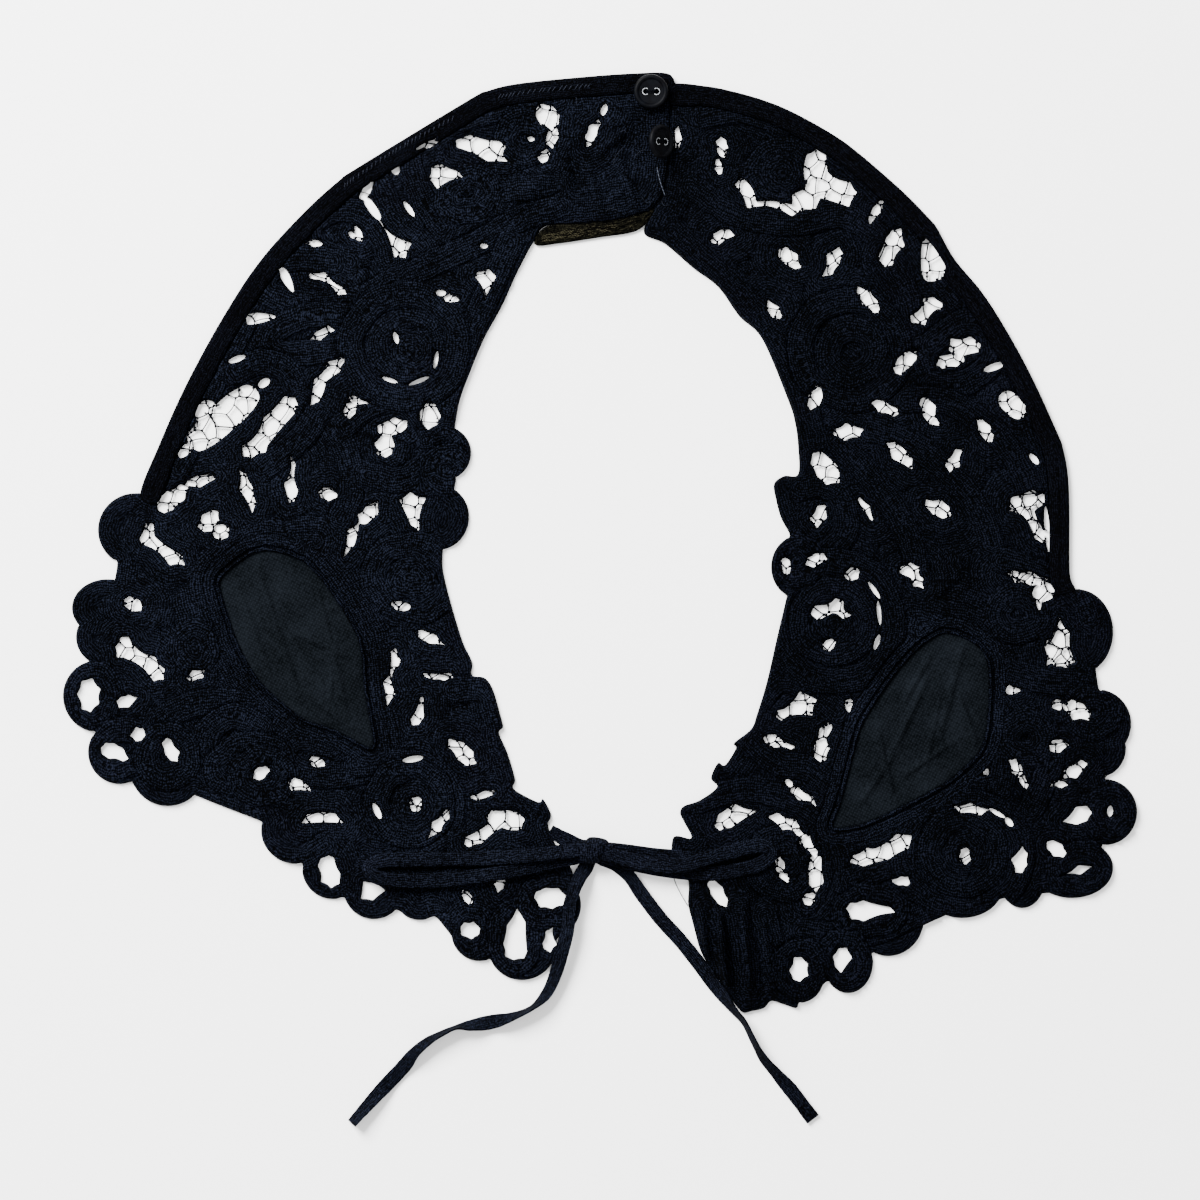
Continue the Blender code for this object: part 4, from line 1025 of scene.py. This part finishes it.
def leafPiece(side):
    loops = [smoothLine(undersideLoops("leaf_" + side)[0], 0.7, True)]

    def shape(points, nearLine, nextLine, away, laid, edgeIn):
        inner = np.clip(away[0] / 3.0, 0, 1)
        rim = leafCloth["rim"]
        height = rim + (leafCloth["height"] - rim) * np.clip(away[0] / 0.8, 0, 1)
        height += creaseLift(points, wrinkles[side]) * inner
        slanted = points @ np.array([[1.0, 0.5], [-0.5, 1.0]])
        height += 0.35 * softHills(slanted, 0.11, 21.0) * inner
        height += 0.12 * softHills(points, 0.3, 5.0) * inner
        return np.maximum(height, leafCloth["least"]), np.zeros(len(points))

    item = clothPiece("linen_leaf_" + side, loops, [], shape, slateLinen,
                      "leaf_" + side, leafCloth["spacing"])


def framePiece(side):
    inner = smoothLine(undersideLoops("leaf_frame_" + side)[1], 0.6, True)
    inner = grown(inner, -frameTape["lip"])
    loops = [halves[side][1], inner]

    def shape(points, nearLine, nextLine, away, laid, edgeIn):
        inward = np.where(nearLine == 1, away[0], away[1])
        height = np.full(len(points), lace["crest"] + 0.12)
        for tall, at, reach in frameTape["cords"]:
            height += tall * ridge(inward - at, reach)
        drop, reach = frameTape["edgeDrop"]
        height -= drop * np.clip(1 - inward / reach, 0, 1)
        height += 0.12 * softHills(points, 0.15, 14.0)
        return height, rolledUnder(inward, frameTape["lip"] + 0.2, 1.15)

    clothPiece("leaf_tape_" + side, loops, [], shape, laceTapes["left"],
               "leaf_frame_" + side, frameTape["spacing"])


for side in ("left", "right"):
    leafPiece(side)
    framePiece(side)
print("leaves set in")


neckEdge = {"lip": 0.55, "under": 1.45, "round": 1.6, "spacing": 0.6}


def edgePiece(name, node, tall, material, seed):
    # a plain tape with rounded edges that turn under
    loops = [grown(smoothLine(undersideLoops(node)[0], 0.7, True), neckEdge["lip"])]

    def shape(points, nearLine, nextLine, away, laid, edgeIn):
        rise = np.sqrt(1 - (1 - np.clip(away[0] / neckEdge["round"], 0, 1)) ** 2)
        low = min(neckEdge["under"], tall - 0.5)
        height = low + 0.1 + (tall - low - 0.1) * rise
        height += 0.3 * softHills(points, 0.09, seed) * rise
        return height, rolledUnder(away[0], neckEdge["lip"] + 0.3, low)

    clothPiece(name, loops, [], shape, material, node, neckEdge["spacing"])


edgePiece("neck_tape_left", "edge_tape_left", 2.5, edgeTape, 2.0)
edgePiece("neck_tape_right", "edge_tape_right", 2.4, edgeTape, 4.0)
edgePiece("turned_tape", "turned_neck_tape", 1.2, oliveTape, 6.0)


# the right half runs on under the left one at the fastening
underlap = [(656, 88), (672, 88), (675, 130), (674, 180), (666, 224), (650, 224), (656, 150)]


def underlapShape(points, nearLine, nextLine, away, laid, edgeIn):
    return 0.25 + 0.45 * np.clip(away[0] / 1.0, 0, 1), np.zeros(len(points))


clothPiece("lace_underlap", [drawn(underlap, 0.7, True)], [], underlapShape, laceTapes["right"],
           None, 0.8)


# whipping stitches over the rolled part of the left neck tape
stitching = {"rows": [[(345, 186), (385, 158), (420, 137), (455, 118)],
                      [(500, 97), (540, 91), (592, 86)]], "pitch": 1.7, "long": 2.2, "radius": 0.17,
             "heights": (2.45, 2.85)}
draw = random.Random(5)
stitches = []
for row in stitching["rows"]:
    line = drawn(row, stitching["pitch"])
    for i in range(len(line) - 1):
        along = (line[i + 1] - line[i]) / np.hypot(*(line[i + 1] - line[i]))
        across = np.array([-along[1], along[0]])
        middle = line[i] + along * draw.uniform(-0.3, 0.3)
        slant = (across * 0.75 + along * 0.65) * stitching["long"] * draw.uniform(0.35, 0.55)
        low, high = stitching["heights"]
        stitches.append(([(*(middle - slant), low), (*middle, high), (*(middle + slant), low)],
                         stitching["radius"]))
threadPiece("neck_tape_stitches", stitches, 6, whipThread)
print("neck edge finished")


tie = {"width": 5.3, "thick": 0.6, "clear": 0.12, "step": 0.9, "edge": 0.25,
       "ripple": (0.12, 0.25), "cup": (0.18, 0.09), "uneven": (0.03, 0.6)}  # amount, closeness
tieRoutes = {  # column, row, height of the middle and roll of the flat tape
    "tie_lead_left": [(550, 830, 4.4, 30), (560, 836, 4.5, 15), (570, 841, 4.6, -5),
                      (578.5, 845, 4.7, -12)],
    "tie_lead_right": [(604, 849, 2.2, 0), (625, 851, 2.2, 0), (655, 855, 2.4, 0),
                       (680, 857, 2.8, 0), (696, 859, 2.9, 0)],
    "tie_loop_left": [(578.5, 849, 6.6, 5), (545, 853, 5.6, 25), (515, 856, 4.6, 15),
                      (480, 858, 3.9, 8), (450, 858.5, 3.6, 5), (405, 859, 3.6, 5),
                      (382, 860, 3.9, 10), (370, 866, 4.6, 10), (376, 876, 5.0, 5),
                      (400, 880, 4.6, 0), (440, 879.5, 4.4, 0), (480, 875.5, 4.4, 0),
                      (520, 869, 4.2, 0), (550, 862, 3.9, 0), (578.5, 856, 3.5, 0)],
    "tie_loop_right": [(604, 852, 6.6, -5), (625, 858, 6.2, -10), (650, 864, 6.0, -10),
                       (680, 865, 5.8, -8), (705, 858, 5.4, -5), (735, 850, 5.0, 0),
                       (758, 845, 4.6, 0), (771, 850, 4.2, 0), (764, 861, 3.8, 0),
                       (745, 868, 3.6, 0), (715, 873, 3.6, 0), (685, 872, 3.6, 0),
                       (650, 867, 3.6, 0), (620, 860, 3.8, 0), (604, 855, 4.0, 0)],
    "tie_tail_left": [(587, 865, 1.7, 0), (580, 876, 3.2, 15), (574, 890, 4.0, 30),
                      (570, 906, 4.0, 30), (568, 927, 4.0, 25), (562, 951, 4.0, 15),
                      (555, 975, 2.8, 30), (546, 994, 2.2, 45), (531, 1008, 2.8, 75),
                      (510, 1017, 2.5, 55), (490, 1022, 1.5, 15), (471, 1025, 2.2, 45),
                      (456, 1027, 2.8, 78), (442, 1033, 2.8, 72), (428, 1041, 2.6, 58),
                      (415, 1052, 2.1, 42), (404, 1066, 1.0, 10), (390, 1081, 0.8, 5),
                      (373, 1099, 1.7, 30), (352, 1123, 2.4, 50)],
    "tie_tail_right": [(604, 859, 0.8, 0), (616, 864, 0.8, 0), (629, 876, 1.4, 25),
                       (641, 893, 1.2, 15), (660, 918, 1.2, 15), (680, 940, 1.2, 15),
                       (700, 965, 1.0, 10), (718, 990, 1.7, 30), (734, 1010, 2.6, 60),
                       (744, 1022, 2.8, 68), (753, 1040, 2.8, 68), (763, 1058, 2.6, 55),
                       (776, 1073, 2.1, 40), (790, 1089, 1.0, 10), (803, 1106, 1.2, 15),
                       (813, 1119, 0.8, 0)],
}
cordEnds = {"tie_loop_left": "object", "tie_loop_right": "object",
            "tie_tail_left": "bare", "tie_tail_right": "bare"}
tieEnds = {  # where each tape goes on into the knot
    "tie_lead_left": (588, 849, 4.9, 0, True), "tie_lead_right": (594, 850, 2.6, 0, False),
    "tie_loop_left": (588, 849, 6.3, 0, False), "tie_loop_right": (594, 850, 6.3, 0, False),
    "tie_tail_left": (590, 853, 3.0, 0, False), "tie_tail_right": (594, 853, 1.6, 0, False),
}


def tieTapePiece(name, rows, seed):
    # a flat tape along its route, rolled about its own middle and held clear of the ground
    rows = list(rows)
    *spot, atEnd = tieEnds[name]
    rows.insert(len(rows) if atEnd else 0, tuple(spot))
    if cordEnds.get(name) == "object":
        rows.append((spot[0], spot[1] + 2, spot[2] - 2.6, 0))
    rows3 = [(*place(c, r), h, roll) for c, r, h, roll in rows]
    curve = smoothLine(rows3, tie["step"], False)
    count = len(curve)
    half = tie["width"] / 2
    thick, edge = tie["thick"], half - tie["edge"]
    upper = [(-edge, thick * 0.5), (-half * 0.5, thick * 0.42), (0.0, thick * 0.4),
             (half * 0.5, thick * 0.42), (edge, thick * 0.5)]
    profile = [(-half, 0.0), *upper, (half, 0.0), *((x, -z) for x, z in upper[::-1])]
    bm = bmesh.new()
    way = bm.loops.layers.uv.new("tapeWay")
    rings, path = [], []
    travelled = [0.0]
    for i in range(1, count):
        travelled.append(travelled[-1] + float(np.linalg.norm(curve[i][:3] - curve[i - 1][:3])))
    for i, (x, y, z, roll) in enumerate(curve):
        along = Vector(curve[min(i + 1, count - 1)][:3] - curve[max(i - 1, 0)][:3])
        flatSide = Vector((-along.y, along.x, 0.0)).normalized()
        up = flatSide.cross(along).normalized() * -1
        if up.z < 0:
            up = -up
        turn = math.radians(roll)
        across = flatSide * math.cos(turn) + up * math.sin(turn)
        over = up * math.cos(turn) - flatSide * math.sin(turn)
        reach = abs(across.z) * half + abs(over.z) * thick / 2 + tie["clear"]
        here = Vector((x, y, max(z, reach)))
        path.append(here * mm)
        ripple, cup, uneven = (
            amount * noise.noise(Vector((travelled[i] * close, seed, layer)))
            for (amount, close), layer in ((tie["ripple"], 0.0), (tie["cup"], 5.0),
                                           (tie["uneven"], 9.0)))
        ring = []
        for side, lift in profile:
            bend = cup * (side / half) ** 2 + ripple * math.sin(side)
            ring.append(bm.verts.new((here + across * side * (1 + uneven)
                                      + over * (lift + bend)) * mm))
        rings.append(ring)
    skinned(bm, rings, way, lambda i, k: (travelled[i], profile[k % len(profile)][0]))
    item = finishPiece(name + "_tape", meshFrom(bm, name), tieTape, name)
    length = travelled[-1] * mm
    print(name, "length", round(length, 4))
    return item, path, length


for seed, (name, rows) in enumerate(tieRoutes.items()):
    item, path, length = tieTapePiece(name, rows, seed * 3.7)


# the knot: a pulled lump of tape with one turn passed over it
knot = {
    "middle": (592.0, 850.0, 4.2), "half": (7.4, 4.1, 3.4), "rounds": 56, "along": 34,
    "waist": 0.58,                               # size of its ends
    "pleats": ((0.05, 5, 2.2), (0.03, 9, -1.0)),  # height, how many, how far they turn
    "turn": {"at": 0.4, "wide": 8.6, "slant": 22.0, "proud": 0.7, "seam": (0.35, 0.16)},
    "cloth": (0.4, 0.36),
}
bm = bmesh.new()
way = bm.loops.layers.uv.new("tapeWay")
centre = Vector((*place(*knot["middle"][:2]), knot["middle"][2]))
sizeX, sizeY, sizeZ = knot["half"]
wrap = knot["turn"]
slant = math.tan(math.radians(wrap["slant"]))
grid = []
for i in range(knot["along"]):
    part = -1 + 2 * i / (knot["along"] - 1)
    x = part * sizeX
    size = knot["waist"] + (1 - knot["waist"]) * math.cos(part * math.pi / 2) ** 0.8
    ring = []
    for k in range(knot["rounds"]):
        angle = 2 * math.pi * k / knot["rounds"]
        pleat = sum(tall * math.cos(count * angle + turned * part)
                    for tall, count, turned in knot["pleats"])
        offTurn = (x - wrap["at"] - slant * math.cos(angle) * sizeY) / (wrap["wide"] / 2)
        proud = wrap["proud"] * (1 - offTurn ** 6) if abs(offTurn) < 1 else 0.0
        depth, reach = wrap["seam"]
        lift = proud - depth * math.exp(-((abs(offTurn) - 1) / reach) ** 2)
        spread = size * (1 + pleat * (1 if proud == 0 else 0.3))
        ring.append(bm.verts.new((centre + Vector((x, math.cos(angle) * (sizeY * spread + lift),
                                                   math.sin(angle) * (sizeZ * spread + lift))))
                                 * mm))
    grid.append(ring)
skinned(bm, grid, way, lambda i, k: (k * knot["cloth"][0], i * knot["cloth"][1]))
finishPiece("tie_knot_tape", meshFrom(bm, "tie_knot_tape"), tieTape, "tie_knot")
print("ties tied")


button = {
    "profile": [(0.02, 1.75), (1.2, 1.78), (3.2, 1.9), (4.35, 1.95), (4.8, 2.48), (5.15, 2.6),
                (5.55, 2.58), (6.0, 2.25), (6.25, 1.6), (6.1, 1.0), (5.35, 0.15), (4.85, 0.0),
                (0.02, 0.0)],  # radius and height, from the dish over the rim to the back
    "radius": 6.25, "rounds": 72,
    "hole": 0.95, "apart": 3.9,
    "highlightRing": (1.15, 1.84, 0.12),  # radius and height of the painted highlight ring, and its own thickness
    "thread": {"radius": 0.2, "offsets": (-0.3, 0.25),
               "arch": [(1.9, 1.0, 0.3), (1.75, 1.0, 1.6), (1.1, 1.2, 2.0)]},
}


def buttonPiece(node, column, row, seat, lean):
    # turned to its profile, drilled twice and sewn on; it may lean out of the lace
    rounds = button["rounds"]
    bm = bmesh.new()
    skinned(bm, [[bm.verts.new((math.cos(2 * math.pi * i / rounds) * away * mm,
                                math.sin(2 * math.pi * i / rounds) * away * mm, tall * mm))
                  for i in range(rounds)] for away, tall in button["profile"]])
    drills = bmesh.new()
    for sign in (-1, 1):
        found = bmesh.ops.create_cone(drills, cap_ends=True, segments=28,
                                      radius1=button["hole"] * mm, radius2=button["hole"] * mm,
                                      depth=8 * mm)
        bmesh.ops.translate(drills, verts=found["verts"],
                            vec=(sign * button["apart"] / 2 * mm, 0, 0))
    blank = bpy.data.objects.new(node + "_blank", meshFrom(bm, node + "_blank"))
    drill = bpy.data.objects.new(node + "_drill", meshFrom(drills, node + "_drill"))
    shown.link(blank)
    shown.link(drill)
    cut = blank.modifiers.new("holes", "BOOLEAN")
    cut.object = drill
    cut.solver = "EXACT"
    bpy.context.view_layer.update()
    drilled = blank.evaluated_get(bpy.context.evaluated_depsgraph_get())
    mesh = bpy.data.meshes.new_from_object(drilled)
    bpy.data.objects.remove(blank)
    bpy.data.objects.remove(drill)
    mesh.materials.clear()
    item = finishPiece(node + "_turned", mesh, buttonCasein, node)
    mesh.set_sharp_from_angle(angle=math.radians(40))

    ring, height, thick = button["highlightRing"]
    rims = []  # pale ring round each hole, open towards the middle: a painted highlight on the hole rims
    for sign in (-1, 1):
        swings = [math.radians(50 + 260 * k / 16) for k in range(17)]
        rims.append(([(sign * (button["apart"] / 2 - math.cos(swing) * ring),
                       math.sin(swing) * ring, height) for swing in swings], thick))
    sewn = []
    for offset in button["thread"]["offsets"]:
        arch = [(x, offset * bow, z) for x, bow, z in button["thread"]["arch"]]
        line = [(-x, y, z) for x, y, z in arch] + arch[::-1]
        sewn.append((line, button["thread"]["radius"]))
    x, y = place(column, row)
    tilt = math.radians(lean)
    for part in (item, threadPiece(node + "_hole_highlights", rims, 6, paintedHoleHighlight),
                 threadPiece(node + "_thread", sewn, 7, darkThread)):
        part.rotation_euler = (0.0, tilt, 0.0)
        part.location = (x * mm, y * mm, (seat + button["radius"] * math.sin(tilt)) * mm)


buttonPiece("button_upper", 651, 92.5, 2.9, 0.0)
buttonPiece("button_lower", 658, 143, 1.4, 48.0)
print("buttons sewn on")


# frayed end of the turned tape
fray = {"count": 80, "radius": 0.08, "long": (0.8, 3.2), "heading": (8, 12), "height": 1.35,
        "arch": 0.25}
draw = random.Random(23)
strands = []
for i in range(fray["count"]):
    part = draw.random() ** 1.8
    start = place(541 + 92 * part, 239.5 - 14 * part + draw.uniform(-4.5, 3.0))
    heading = math.radians(draw.gauss(*fray["heading"]))
    long = draw.uniform(*fray["long"]) * (1.2 - 0.7 * part)
    strand = [(start[0] + math.cos(heading) * long * way, start[1] + math.sin(heading) * long * way,
               fray["height"] + fray["arch"] * math.sin(math.pi * way))
              for way in (0, 0.25, 0.5, 0.75, 1)]
    strands.append((strand, fray["radius"] * draw.uniform(0.7, 1.2)))
threadPiece("turned_tape_fray", strands, 5, frayThread)

# loose threads: a buttonhole bar, fibres and a thread end, by column, row and height
looseThreads = {
    "buttonhole_thread": (greyThread, 0.15, [
        [(657, 168, 2.6), (659, 178, 3.0), (662, 188, 2.9), (665, 196, 2.4)]]),
    "frayed_fibres": (whipThread, 0.08, [
        [(620, 133, 2.9), (624, 131, 3.1), (627, 134, 2.9)],
        [(613, 166, 2.7), (616, 156, 3.1), (623, 148, 2.8)],
        [(627, 187, 2.8), (629, 184, 3.2), (632, 186, 2.9)],
        [(634, 158, 2.9), (640, 152, 3.2), (646, 150, 2.8)],
        [(642, 198, 2.7), (646, 203, 3.0), (652, 202, 2.8)],
        [(576, 98, 2.9), (577, 102, 3.1), (576, 106, 2.8)],
        [(661, 201, 2.7), (664, 206, 2.9), (669, 205, 2.6)],
        [(605, 212, 2.6), (611, 209, 2.9), (618, 211, 2.7)]]),
    "loose_thread": (darkThread, 0.16, [
        [(672, 872, 2.6), (676, 884, 1.4), (682, 896, 1.0), (688, 906, 1.3)]]),
}
for name, (material, radius, rows) in looseThreads.items():
    lines = [(smoothLine([(*place(c, r), z) for c, r, z in row], 0.8, False), radius)
             for row in rows]
    threadPiece(name, lines, 6, material)
print("loose threads laid")

low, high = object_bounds()
